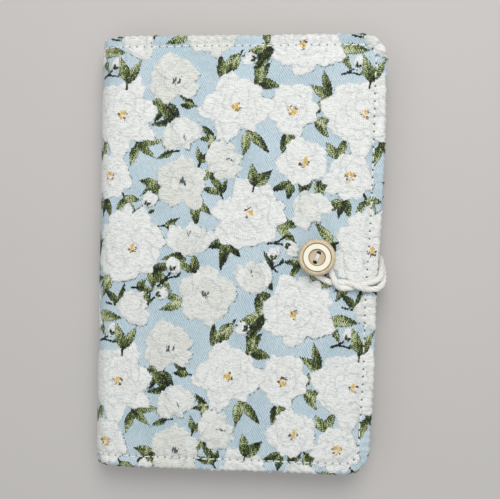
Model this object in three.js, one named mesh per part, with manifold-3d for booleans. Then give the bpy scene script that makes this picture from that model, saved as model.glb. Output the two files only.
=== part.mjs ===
// A book-style fabric case for circular knitting needles, lying closed on its back cover.
// Millimetres, +Z up, +Y along the spine towards the head of the case, +X towards the fore edge.
// The origin is at the middle of the bounding box, on the surface that the back cover lies on.
//
// Two padded covers (outer fabric, foam panel, lining and an inside pocket) are joined by a soft,
// rounded spine. Four two-sided pocket leaves are sewn to the spine lining. A round wooden button
// stands on a thread shank on the front cover, and a twisted cotton cord loop, caught in the fore-edge
// seam of the back cover, passes round the fore edge and hooks under the button.

import * as THREE from "three";
import { mergeVertices } from "three/addons/utils/BufferGeometryUtils.js";
import Module from "manifold-3d";

// ---- driving dimensions -------------------------------------------------------------------------
const WIDTH = 142; // spine to fore edge, closed
const HEIGHT = 216; // head to tail
const THICK = 20; // over both covers, closed
const CORNER_R = 10; // rounded fore-edge corners of the covers
const SPINE_R = 8; // radius of the soft fold on each side of the spine
const FABRIC = 0.8; // outer woven fabric with its fusible backing
const FOAM = 2.4; // sew-in foam panel
const LINING = 0.5;
const POCKET = 0.5; // pocket panel
const BINDING = 0.6; // folded tape along a pocket's mouth
const PAGE = 0.6; // leaf between its two pockets
const GAP = 0.1; // between layers that lie on each other
const LEAF_PITCH = 2.4; // between neighbouring leaves
const LEAVES = 4;
const LEAF_HINGE_X = -68.7; // sewing line of the leaves along the spine
const POCKET_TOP = 58; // height of the pocket mouths, from the middle of the case
const BINDING_W = 8;
const BUTTON_X = 39.7; // button centre, from the middle of the case
const BUTTON_Y = -2.0;
const BUTTON_D = 18;
const BUTTON_T = 4.4;
const BUTTON_Z = THICK + 3.6; // underside of the button
const HOLE_R = 0.95;
const HOLE_OFF = 2.3; // each hole from the button's centre
const HOLE_LEAN = (22 * Math.PI) / 180; // the line of holes leans this far from +Y towards +X
const SHANK_R = 1.6;
const CORD_D = 3.0; // twisted cotton cord of the loop
const CORD_ENDS = [-1.0, -5.4]; // where the loop's two ends are caught in the seam, along the fore edge
const SHIFT_X = -1.6; // brings the middle of the bounding box, loop included, to x = 0

const half = { w: WIDTH / 2, h: HEIGHT / 2 };
const SPINE_X = -half.w + SPINE_R; // where the flat of a cover turns into the spine
const D45 = SPINE_R * Math.SQRT1_2;

// ---- helpers ------------------------------------------------------------------------------------
const wasm = await Module();
wasm.setup();

function solid(geometry) {
  const g = (geometry.index ? geometry.toNonIndexed() : geometry.clone());
  g.deleteAttribute("normal");
  g.deleteAttribute("uv");
  const m = mergeVertices(g, 1e-4);
  return new wasm.Manifold(
    new wasm.Mesh({
      numProp: 3,
      vertProperties: new Float32Array(m.attributes.position.array),
      triVerts: new Uint32Array(m.index.array),
    }),
  );
}

function geometryOf(manifold) {
  const m = manifold.getMesh();
  const v = new Float32Array(m.numVert * 3);
  for (let i = 0; i < m.numVert; i++)
    v.set(m.vertProperties.subarray(i * m.numProp, i * m.numProp + 3), i * 3);
  const g = new THREE.BufferGeometry();
  g.setAttribute("position", new THREE.BufferAttribute(v, 3));
  g.setIndex(new THREE.BufferAttribute(new Uint32Array(m.triVerts), 1));
  g.computeVertexNormals();
  return g;
}

// An upright plate from z0 to z1 with the given outline in plan.
function plate(shape, z0, z1) {
  const g = new THREE.ExtrudeGeometry(shape, {
    depth: z1 - z0,
    bevelEnabled: false,
    curveSegments: 6,
  });
  g.translate(0, 0, z0);
  return g;
}

// A cross-section drawn in x and z, drawn out along Y from y0 to y1.
function section(points, y0, y1) {
  const shape = new THREE.Shape(points.map(([x, z]) => new THREE.Vector2(x, -z)));
  const g = new THREE.ExtrudeGeometry(shape, { depth: y1 - y0, bevelEnabled: false });
  g.rotateX(-Math.PI / 2); // (x, -z, depth) becomes (x, depth, z)
  g.translate(0, y0, 0);
  return g;
}

// A rectangle in plan whose two corners at the +X side are rounded.
function outline(x0, x1, y0, y1, r) {
  const s = new THREE.Shape();
  s.moveTo(x0, y0);
  s.lineTo(x1 - r, y0);
  s.absarc(x1 - r, y0 + r, r, -Math.PI / 2, 0, false);
  s.lineTo(x1, y1 - r);
  s.absarc(x1 - r, y1 - r, r, 0, Math.PI / 2, false);
  s.lineTo(x0, y1);
  s.closePath();
  return s;
}

const box = (x0, x1, y0, y1, z0, z1) => {
  const g = new THREE.BoxGeometry(x1 - x0, y1 - y0, z1 - z0);
  g.translate((x0 + x1) / 2, (y0 + y1) / 2, (z0 + z1) / 2);
  return g;
};

const cylinder = (x, y, z0, z1, r, sides) => {
  const g = new THREE.CylinderGeometry(r, r, z1 - z0, sides);
  g.rotateX(Math.PI / 2);
  g.translate(x, y, (z0 + z1) / 2);
  return g;
};

// ---- materials ----------------------------------------------------------------------------------
const material = (color, roughness, metalness = 0) =>
  new THREE.MeshStandardMaterial({ color, roughness, metalness });
const FLORAL = material(0xc9dbe2, 0.85);
const FOAM_MAT = material(0xf1eee6, 0.95);
const LINING_MAT = material(0xb9d2df, 0.9);
const PAGE_MAT = material(0xf0ece2, 0.9);
const POCKET_MAT = material(0xbfd6e2, 0.9);
const BINDING_MAT = material(0x6f7f4a, 0.85);
const WOOD = material(0xd9bd8f, 0.55);
const THREAD = material(0xf2efe8, 0.8);
const CORD_MAT = material(0xf1ede2, 0.85);

const part = new THREE.Group();
part.position.x = SHIFT_X;
const add = (name, geometry, mat) => {
  const mesh = new THREE.Mesh(geometry, mat);
  mesh.name = name;
  part.add(mesh);
  return mesh;
};

// ---- covers -------------------------------------------------------------------------------------
// The outer fabric of a cover: flat as far as SPINE_X, then the first 45 degrees of the spine's fold.
// The fold lines of the case run along the outside of that bend, so the fabric never meets itself.
function coverFabric(front) {
  const r = SPINE_R, n = 6, end = Math.PI / 4 - 0.045;
  const pts = [[half.w, 0]];
  const inner = [];
  for (let i = 0; i <= n; i++) {
    const a = (end * i) / n;
    pts.push([SPINE_X - r * Math.sin(a), r - r * Math.cos(a)]);
    const q = r - FABRIC;
    inner.unshift([SPINE_X - q * Math.sin(a), r - q * Math.cos(a)]);
  }
  const profile = [...pts, ...inner, [half.w, FABRIC]];
  const drawn = front ? profile.map(([x, z]) => [x, THICK - z]).reverse() : profile;
  const bar = solid(section(drawn.reverse(), -half.h, half.h));
  const plan = solid(
    plate(outline(-half.w - 5, half.w, -half.h, half.h, CORNER_R), -5, THICK + 5),
  );
  return geometryOf(bar.intersect(plan));
}

const layer = {
  foam: [FABRIC + GAP, FABRIC + GAP + FOAM],
  lining: [FABRIC + FOAM + 2 * GAP, FABRIC + FOAM + LINING + 2 * GAP],
};
layer.pocket = [layer.lining[1] + GAP, layer.lining[1] + GAP + POCKET];
layer.binding = [layer.lining[1] + GAP, layer.lining[1] + GAP + BINDING];
const span = ([a, b], front) => (front ? [THICK - b, THICK - a] : [a, b]);

for (const [side, front] of [["back", false], ["front", true]]) {
  add(side + "_cover_fabric", coverFabric(front), FLORAL);
  add(
    side + "_foam_panel",
    plate(outline(SPINE_X + 1, half.w - 5, -half.h + 5, half.h - 5, CORNER_R - 4), ...span(layer.foam, front)),
    FOAM_MAT,
  );
  // The back lining is open where the ends of the cord loop are caught between it and the outer fabric.
  const lining = solid(
    plate(outline(SPINE_X + 0.5, half.w - 0.6, -half.h + 0.6, half.h - 0.6, CORNER_R - 0.6), ...span(layer.lining, front)),
  );
  const notch = solid(
    box(half.w - 4.4, half.w + 1, CORD_ENDS[1] - CORD_D / 2 - 0.4, CORD_ENDS[0] + CORD_D / 2 + 0.4, 0, THICK / 2),
  );
  add(side + "_lining", geometryOf(lining.subtract(notch)), LINING_MAT);
  add(
    side + "_inside_pocket",
    plate(outline(SPINE_X + 3, half.w - 5, -half.h + 5, POCKET_TOP, 0.5), ...span(layer.pocket, front)),
    POCKET_MAT,
  );
  add(
    side + "_pocket_binding",
    box(SPINE_X + 3, half.w - 5, POCKET_TOP + GAP, POCKET_TOP + GAP + BINDING_W, ...span(layer.binding, front)),
    BINDING_MAT,
  );
}

// ---- spine --------------------------------------------------------------------------------------
// The rest of the U: from 45 degrees on the back cover's side to 45 degrees on the front cover's side.
function spineShell(outer, inner, lead) {
  const n = 6, a0 = Math.PI / 4 + lead, a1 = Math.PI / 2;
  const line = (r) => {
    const p = [];
    for (let i = 0; i <= n; i++) {
      const a = a0 + ((a1 - a0) * i) / n;
      p.push([SPINE_X - r * Math.sin(a), SPINE_R - r * Math.cos(a)]);
    }
    const top = p.map(([x, z]) => [x, THICK - z]).reverse();
    return [...p, ...top];
  };
  return [...line(outer), ...line(inner).reverse()];
}
add(
  "spine_fabric",
  section(spineShell(SPINE_R, SPINE_R - FABRIC, 0.045).reverse(), -half.h, half.h),
  FLORAL,
);
add(
  "spine_lining",
  section(
    spineShell(SPINE_R - FABRIC - GAP, SPINE_R - FABRIC - GAP - LINING, 0.12).reverse(),
    -half.h + 0.6,
    half.h - 0.6,
  ),
  LINING_MAT,
);

// ---- pocket leaves ------------------------------------------------------------------------------
const PAGE_X1 = half.w - 6.5;
const PAGE_Y = half.h - 5;
for (let i = 0; i < LEAVES; i++) {
  const z = THICK / 2 + (i - (LEAVES - 1) / 2) * LEAF_PITCH;
  const name = "leaf_" + (i + 1);
  add(
    name + "_page",
    plate(outline(LEAF_HINGE_X + 0.1, PAGE_X1, -PAGE_Y, PAGE_Y, 8), z - PAGE / 2, z + PAGE / 2),
    PAGE_MAT,
  );
  for (const [face, up] of [["rear", -1], ["front", 1]]) {
    const zz = (t) => {
      const a = z + up * (PAGE / 2 + GAP), b = z + up * (PAGE / 2 + GAP + t);
      return [Math.min(a, b), Math.max(a, b)];
    };
    const pocket = new THREE.Shape();
    const x0 = LEAF_HINGE_X + 7, x1 = PAGE_X1 - 0.6, y0 = -PAGE_Y + 0.6, r = 7.4;
    pocket.moveTo(x0, y0);
    pocket.lineTo(x1 - r, y0);
    pocket.absarc(x1 - r, y0 + r, r, -Math.PI / 2, 0, false);
    pocket.lineTo(x1, POCKET_TOP);
    pocket.lineTo(x0, POCKET_TOP);
    pocket.closePath();
    add(`${name}_pocket_${face}`, plate(pocket, ...zz(POCKET)), POCKET_MAT);
    add(
      `${name}_binding_${face}`,
      box(x0, x1, POCKET_TOP + GAP, POCKET_TOP + GAP + BINDING_W, ...zz(BINDING)),
      BINDING_MAT,
    );
  }
}

// ---- button -------------------------------------------------------------------------------------
// A turned wooden disc: rounded rim, a burnt groove, a flat ring, a second groove and a dished middle.
const R = BUTTON_D / 2;
const prof = [
  [0, 0], [R - 2.2, 0], [R - 0.9, 0.35], [R - 0.15, 1.3], [R, 2.2], [R - 0.2, 3.1], [R - 0.8, 3.9],
  [R - 1.6, BUTTON_T], [R - 2.0, BUTTON_T - 0.05], [R - 2.25, BUTTON_T - 0.5], [R - 2.5, BUTTON_T - 0.1],
  [4.05, BUTTON_T - 0.1], [3.85, BUTTON_T - 0.75], [3.5, BUTTON_T - 1.0], [1.6, BUTTON_T - 1.25], [0, BUTTON_T - 1.3],
].map(([x, y]) => new THREE.Vector2(x, y));
const disc = new THREE.LatheGeometry(prof, 40);
disc.rotateX(Math.PI / 2);
disc.translate(BUTTON_X, BUTTON_Y, BUTTON_Z);
const hx = HOLE_OFF * Math.sin(HOLE_LEAN), hy = HOLE_OFF * Math.cos(HOLE_LEAN);
let button = solid(disc);
for (const s of [1, -1])
  button = button.subtract(
    solid(cylinder(BUTTON_X + s * hx, BUTTON_Y + s * hy, BUTTON_Z - 2, BUTTON_Z + BUTTON_T + 2, HOLE_R, 16)),
  );
add("wooden_button", geometryOf(button), WOOD);

// The sewing thread on the button: a bar from hole to hole and a leg down each hole.
const seat = BUTTON_Z + BUTTON_T - 1.15;
const bar = new THREE.BoxGeometry(1.3, 2 * HOLE_OFF + 1.0, 0.8);
bar.translate(0, 0, seat + 0.5);
bar.rotateZ(-HOLE_LEAN);
bar.translate(BUTTON_X, BUTTON_Y, 0);
let stitch = solid(bar);
for (const s of [1, -1])
  stitch = stitch.add(
    solid(cylinder(BUTTON_X + s * hx, BUTTON_Y + s * hy, BUTTON_Z + 0.1, seat + 0.5, 0.5, 10)),
  );
add("button_stitch_thread", geometryOf(stitch), THREAD);
add(
  "button_thread_shank",
  cylinder(BUTTON_X, BUTTON_Y, THICK + GAP, BUTTON_Z - 0.3, SHANK_R, 16),
  THREAD,
);

// ---- cord loop ----------------------------------------------------------------------------------
// One cord, sewn by both ends into the fore-edge seam of the back cover. It rises round the fore edge,
// crosses the front cover and passes round the shank under the button.
const cordZ = THICK + CORD_D / 2 + 0.25;
const edgeX = half.w + CORD_D / 2 + 0.2;
const seamZ = FABRIC + GAP + CORD_D / 2;
const [endA, endB] = CORD_ENDS;
const route = [
  [half.w - 4, endA, seamZ],
  [half.w - 1.2, endA, seamZ],
  [half.w + 1.0, endA - 0.4, seamZ + 0.7],
  [edgeX, endA - 1.9, seamZ + 3.4],
  [edgeX, endA - 5.6, seamZ + 9],
  [edgeX, endA - 9.4, seamZ + 14.2],
  [edgeX, -12.2, cordZ - 2.2],
  [edgeX - 0.5, -13.0, cordZ - 0.6],
  [half.w - 0.3, -13.3, cordZ + 0.1],
  [half.w - 6, -13.3, cordZ],
  [half.w - 13, -13.3, cordZ],
  [half.w - 18.5, -12.8, cordZ],
  [half.w - 22.4, -10.2, cordZ],
  [half.w - 25.0, -6.2, cordZ],
  [BUTTON_X + 4.7, BUTTON_Y - 0.6, cordZ],
  [BUTTON_X + 3.2, BUTTON_Y + 2.9, cordZ],
  [BUTTON_X - 0.2, BUTTON_Y + 4.2, cordZ],
  [BUTTON_X - 3.1, BUTTON_Y + 2.5, cordZ],
  [BUTTON_X - 3.9, BUTTON_Y - 1.2, cordZ],
  [BUTTON_X - 2.6, BUTTON_Y - 5.2, cordZ],
  [BUTTON_X + 0.8, BUTTON_Y - 9.2, cordZ],
  [BUTTON_X + 5.6, BUTTON_Y - 13.0, cordZ],
  [BUTTON_X + 11.2, BUTTON_Y - 14.9, cordZ],
  [half.w - 13, -17.1, cordZ],
  [half.w - 6, -17.3, cordZ],
  [half.w - 0.3, -17.5, cordZ + 0.1],
  [edgeX - 0.5, -17.6, cordZ - 0.6],
  [edgeX, -17.2, cordZ - 2.2],
  [edgeX, endB - 9.4, seamZ + 14.2],
  [edgeX, endB - 5.6, seamZ + 9],
  [edgeX, endB - 1.9, seamZ + 3.4],
  [half.w + 1.0, endB - 0.4, seamZ + 0.7],
  [half.w - 1.2, endB, seamZ],
  [half.w - 4, endB, seamZ],
].map((p) => new THREE.Vector3(...p));
const ring = new THREE.Shape(
  Array.from({ length: 8 }, (_, i) => {
    const a = (i * Math.PI) / 4 + Math.PI / 8;
    return new THREE.Vector2((CORD_D / 2) * Math.cos(a), (CORD_D / 2) * Math.sin(a));
  }),
);
add(
  "cord_loop",
  new THREE.ExtrudeGeometry(ring, {
    steps: 88,
    bevelEnabled: false,
    extrudePath: new THREE.CatmullRomCurve3(route, false, "centripetal"),
  }),
  CORD_MAT,
);

export default part;
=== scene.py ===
import math

import bpy
import bmesh
import numpy as np
from mathutils import Matrix, Vector


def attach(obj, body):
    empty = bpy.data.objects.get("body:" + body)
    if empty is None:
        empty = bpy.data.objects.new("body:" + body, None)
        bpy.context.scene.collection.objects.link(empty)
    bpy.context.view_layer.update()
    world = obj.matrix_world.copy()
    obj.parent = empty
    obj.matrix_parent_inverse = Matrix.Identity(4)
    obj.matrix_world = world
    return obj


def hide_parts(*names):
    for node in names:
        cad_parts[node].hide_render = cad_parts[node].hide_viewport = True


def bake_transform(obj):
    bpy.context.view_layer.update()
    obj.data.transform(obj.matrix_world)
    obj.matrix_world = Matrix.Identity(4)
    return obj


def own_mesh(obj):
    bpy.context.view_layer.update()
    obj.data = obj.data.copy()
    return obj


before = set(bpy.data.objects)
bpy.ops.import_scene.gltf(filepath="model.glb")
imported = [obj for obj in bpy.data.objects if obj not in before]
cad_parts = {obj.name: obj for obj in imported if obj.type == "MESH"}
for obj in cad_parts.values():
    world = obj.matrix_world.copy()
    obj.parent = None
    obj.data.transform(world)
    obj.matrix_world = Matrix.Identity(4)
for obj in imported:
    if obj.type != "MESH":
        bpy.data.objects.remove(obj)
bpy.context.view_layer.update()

# All lengths below are in millimetres in the case's own coordinates: x from the middle of the covers
# towards the fore edge, y along the spine, z up. SHIFT brings x to the frame of the CAD.
SHIFT = -1.6
HW, HH, THICK, SPINE_R = 71.0, 108.0, 20.0, 8.0
SPINE_X = -HW + SPINE_R
CORNER = 13.0
# Half of the section round the spine: a soft nose, then a slope up to the flat of the cover
SLOPE, RUN = 0.2, 10.0
DROP = SLOPE * RUN / 2
_t = np.linspace(0, 1, 400)[:, None]
_nose = [np.array(q) for q in ((-HW, THICK / 2), (-HW, THICK / 2 + 4.0), (SPINE_X - 4.4, THICK - DROP - 4.4 * SLOPE), (SPINE_X, THICK - DROP))]
_nose = (1 - _t) ** 3 * _nose[0] + 3 * _t * (1 - _t) ** 2 * _nose[1] + 3 * _t**2 * (1 - _t) * _nose[2] + _t**3 * _nose[3]
NOSE_U = np.r_[0, np.cumsum(np.hypot(*np.diff(_nose, axis=0).T))]
NOSE_X, NOSE_Z = _nose.T
NOSE_T = np.arctan2(np.gradient(NOSE_Z), np.gradient(NOSE_X))  # slope of the section
U0 = float(NOSE_U[-1])  # length of half the spine, unfolded
ROLL, ROLL_Z = 2.1, 1.6  # radius of the rolled rim, across and through the cover
STITCH_IN = 5.6  # stitch line, in from the outline
U1 = U0 + (HW - CORNER) - SPINE_X  # unfolded length as far as the rounded corners
QUARTER = (CORNER - STITCH_IN) * math.pi / 2
PATH_LEN = 2 * U1 + 2 * QUARTER + 2 * (HH - CORNER)
N_STITCH = 129
PITCH = PATH_LEN / N_STITCH
BUTTON = np.array([39.7, -2.0])
BUTTON_Z = 23.6  # underside of the button
LEAN, DENT = 2.4, -1.5  # the front cover's fore edge is a little out of square and drawn in by the loop


# ---------------------------------------------------------------- small tools
def lin(hex_or_rgb):
    if isinstance(hex_or_rgb, str):
        h = hex_or_rgb.lstrip("#")
        c = [int(h[i : i + 2], 16) / 255 for i in (0, 2, 4)]
    else:
        c = list(hex_or_rgb)
    return tuple(x / 12.92 if x <= 0.04045 else ((x + 0.055) / 1.055) ** 2.4 for x in c) + (1.0,)


def sm(x, a=0.0, b=1.0):
    t = np.clip((x - a) / (b - a), 0, 1)
    return t * t * (3 - 2 * t)


def to_m(p):
    q = np.array(p, float)
    q[..., 0] += SHIFT
    return q * 0.001


def make_mesh(name, verts, faces, mats, attrs=None, smooth=True, mat_index=None):
    me = bpy.data.meshes.new(name)
    me.from_pydata(to_m(verts).tolist(), [], [list(map(int, f)) for f in faces])
    me.update()
    if smooth:
        me.polygons.foreach_set("use_smooth", np.ones(len(me.polygons), bool))
    for key, a in (attrs or {}).items():
        a = np.asarray(a, np.float32)
        if a.ndim == 1:
            me.attributes.new(key, "FLOAT", "POINT").data.foreach_set("value", a)
        else:
            me.attributes.new(key, "FLOAT_VECTOR", "POINT").data.foreach_set("vector", a.ravel())
    for m in mats if isinstance(mats, (list, tuple)) else [mats]:
        me.materials.append(m)
    if mat_index is not None:
        me.polygons.foreach_set("material_index", np.asarray(mat_index, np.int32))
    ob = bpy.data.objects.new(name, me)
    bpy.context.scene.collection.objects.link(ob)
    return ob


def grid_faces(nu, nv, flip=False, off=0):
    i, j = np.meshgrid(np.arange(nu - 1), np.arange(nv - 1), indexing="ij")
    a = (i * nv + j).ravel() + off
    f = np.stack([a, a + nv, a + nv + 1, a + 1], 1)
    return f[:, ::-1] if flip else f


def strip_faces(loop, rings, flip=False):
    """Quads between a loop of vertex numbers and further rings given as arrays of the same length."""
    out = []
    prev = np.asarray(loop)
    for r in rings:
        r = np.asarray(r)
        f = np.stack([prev[:-1], r[:-1], r[1:], prev[1:]], 1)
        out.append(f[:, ::-1] if flip else f)
        prev = r
    return np.concatenate(out)


def catmull(points, per=10):
    """A centripetal Catmull-Rom curve through the points."""
    p = np.array(points, float)
    p = np.vstack([2 * p[0] - p[1], p, 2 * p[-1] - p[-2]])
    out = []
    for k in range(1, len(p) - 2):
        a, b, c, d = p[k - 1 : k + 3]
        t0 = 0.0
        t1 = t0 + np.linalg.norm(b - a) ** 0.5
        t2 = t1 + np.linalg.norm(c - b) ** 0.5
        t3 = t2 + np.linalg.norm(d - c) ** 0.5
        for t in np.linspace(t1, t2, per, endpoint=False):
            a1 = (t1 - t) / (t1 - t0) * a + (t - t0) / (t1 - t0) * b
            a2 = (t2 - t) / (t2 - t1) * b + (t - t1) / (t2 - t1) * c
            a3 = (t3 - t) / (t3 - t2) * c + (t - t2) / (t3 - t2) * d
            b1 = (t2 - t) / (t2 - t0) * a1 + (t - t0) / (t2 - t0) * a2
            b2 = (t3 - t) / (t3 - t1) * a2 + (t - t1) / (t3 - t1) * a3
            out.append((t2 - t) / (t2 - t1) * b1 + (t - t1) / (t2 - t1) * b2)
    out.append(p[-2])
    return np.array(out)


def resample(path, step):
    d = np.r_[0, np.cumsum(np.linalg.norm(np.diff(path, axis=0), axis=1))]
    n = max(2, int(round(d[-1] / step)) + 1)
    t = np.linspace(0, d[-1], n)
    return np.stack([np.interp(t, d, path[:, k]) for k in range(3)], 1)


def frames(path):
    """Tangents and a twist-free pair of normals along a path."""
    t = np.gradient(path, axis=0)
    t /= np.linalg.norm(t, axis=1)[:, None]
    n = np.zeros_like(t)
    ref = np.array([0.0, 0.0, 1.0]) if abs(t[0, 2]) < 0.9 else np.array([0.0, 1.0, 0.0])
    v = ref - t[0] * (ref @ t[0])
    n[0] = v / np.linalg.norm(v)
    for k in range(1, len(t)):
        v = n[k - 1] - t[k] * (n[k - 1] @ t[k])
        n[k] = v / np.linalg.norm(v)
    return t, n, np.cross(t, n)


def tube(path, radius, sides, shape=None, caps=True):
    """Vertices and faces of a tube. radius is a number or one per point; shape(k, angles) scales it."""
    t, n, b = frames(path)
    ang = np.linspace(0, 2 * math.pi, sides, endpoint=False)
    r = np.broadcast_to(radius, (len(path),))
    rr = r[:, None] * (shape(np.arange(len(path)), ang) if shape else np.ones((1, sides)))
    v = path[:, None, :] + rr[:, :, None] * (
        np.cos(ang)[None, :, None] * n[:, None, :] + np.sin(ang)[None, :, None] * b[:, None, :]
    )
    v = v.reshape(-1, 3)
    f = []
    for k in range(len(path) - 1):
        for j in range(sides):
            j2 = (j + 1) % sides
            f.append([k * sides + j, k * sides + j2, (k + 1) * sides + j2, (k + 1) * sides + j])
    if caps:
        m = len(path) - 1
        f.append(list(range(sides))[::-1])
        f.append([m * sides + j for j in range(sides)])
    return v, f


class Build:
    """Collects several shapes into one mesh."""

    def __init__(self):
        self.v, self.f, self.a, self.n = [], [], {}, 0

    def add(self, v, f, **attrs):
        self.v.append(np.asarray(v, float))
        self.f += [[i + self.n for i in q] for q in f]
        for k, x in attrs.items():
            self.a.setdefault(k, []).append(np.asarray(x, float))
        self.n += len(v)

    def make(self, name, mats):
        return make_mesh(
            name, np.concatenate(self.v), self.f, mats, {k: np.concatenate(x) for k, x in self.a.items()}
        )


# ---------------------------------------------------------------- the woven design
# A generic scatter of open white blossoms, half-open ones, buds and leaf sprays, placed by a seeded search.
TILE = np.array([119.0, 133.0])


def lay_out(seed=11):
    rng = np.random.RandomState(seed)
    placed = []

    def gap_at(x, y, r, skip=None):
        g = 1e9
        for q in placed:
            if q is skip:
                continue
            dx, dy = abs(x % TILE[0] - q["x"]), abs(y % TILE[1] - q["y"])
            dx, dy = min(dx, TILE[0] - dx), min(dy, TILE[1] - dy)
            g = min(g, math.hypot(dx, dy) - r - q["r"])
        return g

    for kind, r0, count, low in (("A", 19.0, 5, -4), ("B", 13.8, 6, -2), ("C", 9.4, 6, -1.2), ("D", 3.6, 8, 0.6)):
        for _ in range(count):
            best = None
            for _ in range(120):
                x, y = rng.rand(2) * TILE
                r = r0 * (0.88 + 0.24 * rng.rand())
                g = gap_at(x, y, r)
                if best is None or g > best[0]:
                    best = (g, x, y, r)
            if best[0] > low:
                placed.append({"kind": kind, "x": best[1], "y": best[2], "r": best[3], "rot": rng.rand() * 6.283, "seed": rng.randint(1 << 30)})

    under, over, tips = [], [], []

    def leaf(p, ang, length, width, tone, curve=0.0, top=False):
        (over if top else under).append(
            {"t": "leaf", "x": p[0], "y": p[1], "ang": ang, "L": length, "W": width, "tone": tone, "curve": curve, "side": 1 if rng.rand() < 0.5 else -1}
        )

    def stem(pts, w, top=False):
        (over if top else under).append({"t": "stem", "pts": np.array(pts), "w": w})

    def unit(a):
        return np.array([math.cos(a), math.sin(a)])

    def spray(p, a, n, size, top=False):
        """Leaves from one joint, the middle one longest, with a dark twig under them."""
        tone = rng.rand()
        stem([p - unit(a) * 2, p + unit(a + 0.1) * 2.5 * size, p + unit(a + 0.25 * rng.randn()) * 6.5 * size], 0.5, top)
        for m in range(n):
            off = (m - (n - 1) / 2) * (0.74 + 0.24 * rng.rand())
            ln = (15.0 - 2.6 * abs(off) + 2.0 * rng.randn()) * size
            base = p + unit(a) * (2.0 * size * abs(m - (n - 1) / 2)) * (0.4 + rng.rand())
            leaf(base, a + off + 0.12 * rng.randn(), max(ln, 5.0), (1.98 + 0.7 * rng.rand()) * size, np.clip(tone + 0.3 * rng.randn(), 0, 1), 0.14 * rng.randn(), top)

    def free(p, room):
        """True where no other spray's leaves are within reach."""
        for t in tips:
            d = np.abs(p - t) % TILE
            d = np.minimum(d, TILE - d)
            if math.hypot(d[0], d[1]) < room:
                return False
        return True

    for q in placed:
        c, r = np.array([q["x"], q["y"]]), q["r"]
        if q["kind"] in "AB":
            cand = []
            for k in range(24):
                a = k * 6.283 / 24 + 0.1 * rng.rand()
                p = c + unit(a) * (r + 6)
                cand.append((gap_at(p[0], p[1], 0, q), a))
            cand.sort(reverse=True)
            used = []
            for g, a in cand:
                if len(used) >= (3 if q["kind"] == "A" else 2):
                    break
                tip = c + unit(a) * (r + 3.5)
                if free(tip, 13.0) and all(abs((a - b + math.pi) % (2 * math.pi) - math.pi) > 1.1 for b in used):
                    used.append(a)
                    tips.append(tip)
                    spray(c + unit(a) * r * 0.80, a + 0.35 * rng.randn(), rng.randint(2, 4), 1.0 if q["kind"] == "A" else 0.88, rng.rand() < 0.12)
        elif q["kind"] == "C":
            a = q["rot"]
            b = c - unit(a) * r * 0.75
            stem([b + unit(a) * 2, b - unit(a + 0.2 * rng.randn()) * 4, b - unit(a + 0.5 * rng.randn()) * 9], 0.5)
            spray(b - unit(a) * 1.0, a + math.pi + 0.5 * rng.randn(), 2, 0.8)
            for s in (-0.75, 0.75):
                leaf(b, a + s + 0.1 * rng.randn(), r * 0.6, 1.0, 0.25, 0.0)
        else:
            a = q["rot"]
            b = c - unit(a) * r * 0.7
            side = 1 if rng.rand() < 0.5 else -1
            mid = b - unit(a + 0.25 * side) * 4
            end = b - unit(a + 0.5 * side) * (8 + 3 * rng.rand())
            stem([b + unit(a) * 0.8, mid, end], 0.55)
            tw = mid + unit(a + side * 1.3) * (3.6 + rng.rand())
            stem([mid * 0.5 + end * 0.5, mid, tw], 0.5)
            leaf(tw, a + side * 0.5, 3.4, 0.9, 0.2)
            for s in (-0.55, 0.55):
                leaf(b - unit(a) * 0.4, a + s, 3.0, 0.75, 0.1, 0.0, True)
            if rng.rand() < 0.7:
                leaf(end, a + math.pi - side * (0.5 + 0.6 * rng.rand()), 7.5 + 3 * rng.rand(), 1.9, rng.rand(), 0.2 * rng.randn())
    # twigs in the largest gaps
    for _ in range(11):
        pts = [rng.rand(2) * TILE for _ in range(90)]
        p = max(pts, key=lambda t: gap_at(t[0], t[1], 3.0) - (0 if free(t, 11.0) else 30))
        tips.append(p)
        a = rng.rand() * 6.283
        spray(p - unit(a) * 3, a, 2 + (rng.rand() < 0.5), 0.68)
        placed.append({"kind": "E", "x": p[0], "y": p[1], "r": 4.0})
    blooms = sorted((q for q in placed if q["kind"] != "E"), key=lambda q: "DCBA".index(q["kind"]))
    return under + [{"t": "bloom", **q} for q in blooms] + over


PRIMS = lay_out()


def petals_of(q):
    rng = np.random.RandomState(q["seed"])
    r, rot, out = q["r"], q["rot"], []

    def ring(n, length, width, start, spread=2 * math.pi, layer=0.0, back=0.0, notch=0.5):
        idx = list(range(n))
        if spread > 6:
            idx = idx[::2] + idx[1::2]
        for k in idx:
            ang = start + spread * ((k + 0.5) / n - (0.5 if spread < 6 else 0)) + 0.14 * rng.randn()
            out.append(
                {
                    "ang": ang, "L": length * (0.86 + 0.24 * rng.rand()), "W": width * (0.88 + 0.26 * rng.rand()), "back": back, "layer": layer,
                    "c": rng.randn(7) * np.array([0.05, 0.05, 0.045, 0.035, 0.03, 0.03, 0.02]), "p": rng.rand(7) * 6.283,
                    "notch": (0.10 + 0.16 * rng.rand()) if rng.rand() < notch else 0.0, "tone": rng.rand(), "thread": 0.7 * rng.randn(),
                }
            )

    if q["kind"] == "A":
        ring(7, r * 1.0, r * 0.42, rot, layer=0.0)
        ring(6, r * 0.72, r * 0.34, rot + 0.5, layer=0.4)
        ring(4, r * 0.42, r * 0.25, rot + 0.2, layer=0.8)
    elif q["kind"] == "B":
        ring(5, r * 1.03, r * 0.50, rot, layer=0.1, notch=0.9)
        ring(3, r * 0.5, r * 0.3, rot + 0.6, layer=0.5)
    elif q["kind"] == "C":
        ring(4, r * 1.75, r * 0.56, rot, spread=1.8, layer=0.1, back=r * 0.8)
        ring(2, r * 1.3, r * 0.46, rot, spread=0.8, layer=0.5, back=r * 0.8)
    else:
        ring(2, r * 1.9, r * 0.72, rot, spread=0.6, layer=0.2, back=r * 0.8, notch=0.2)
    return out


HARM = (2, 3, 4, 5, 6, 9, 14)


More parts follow.
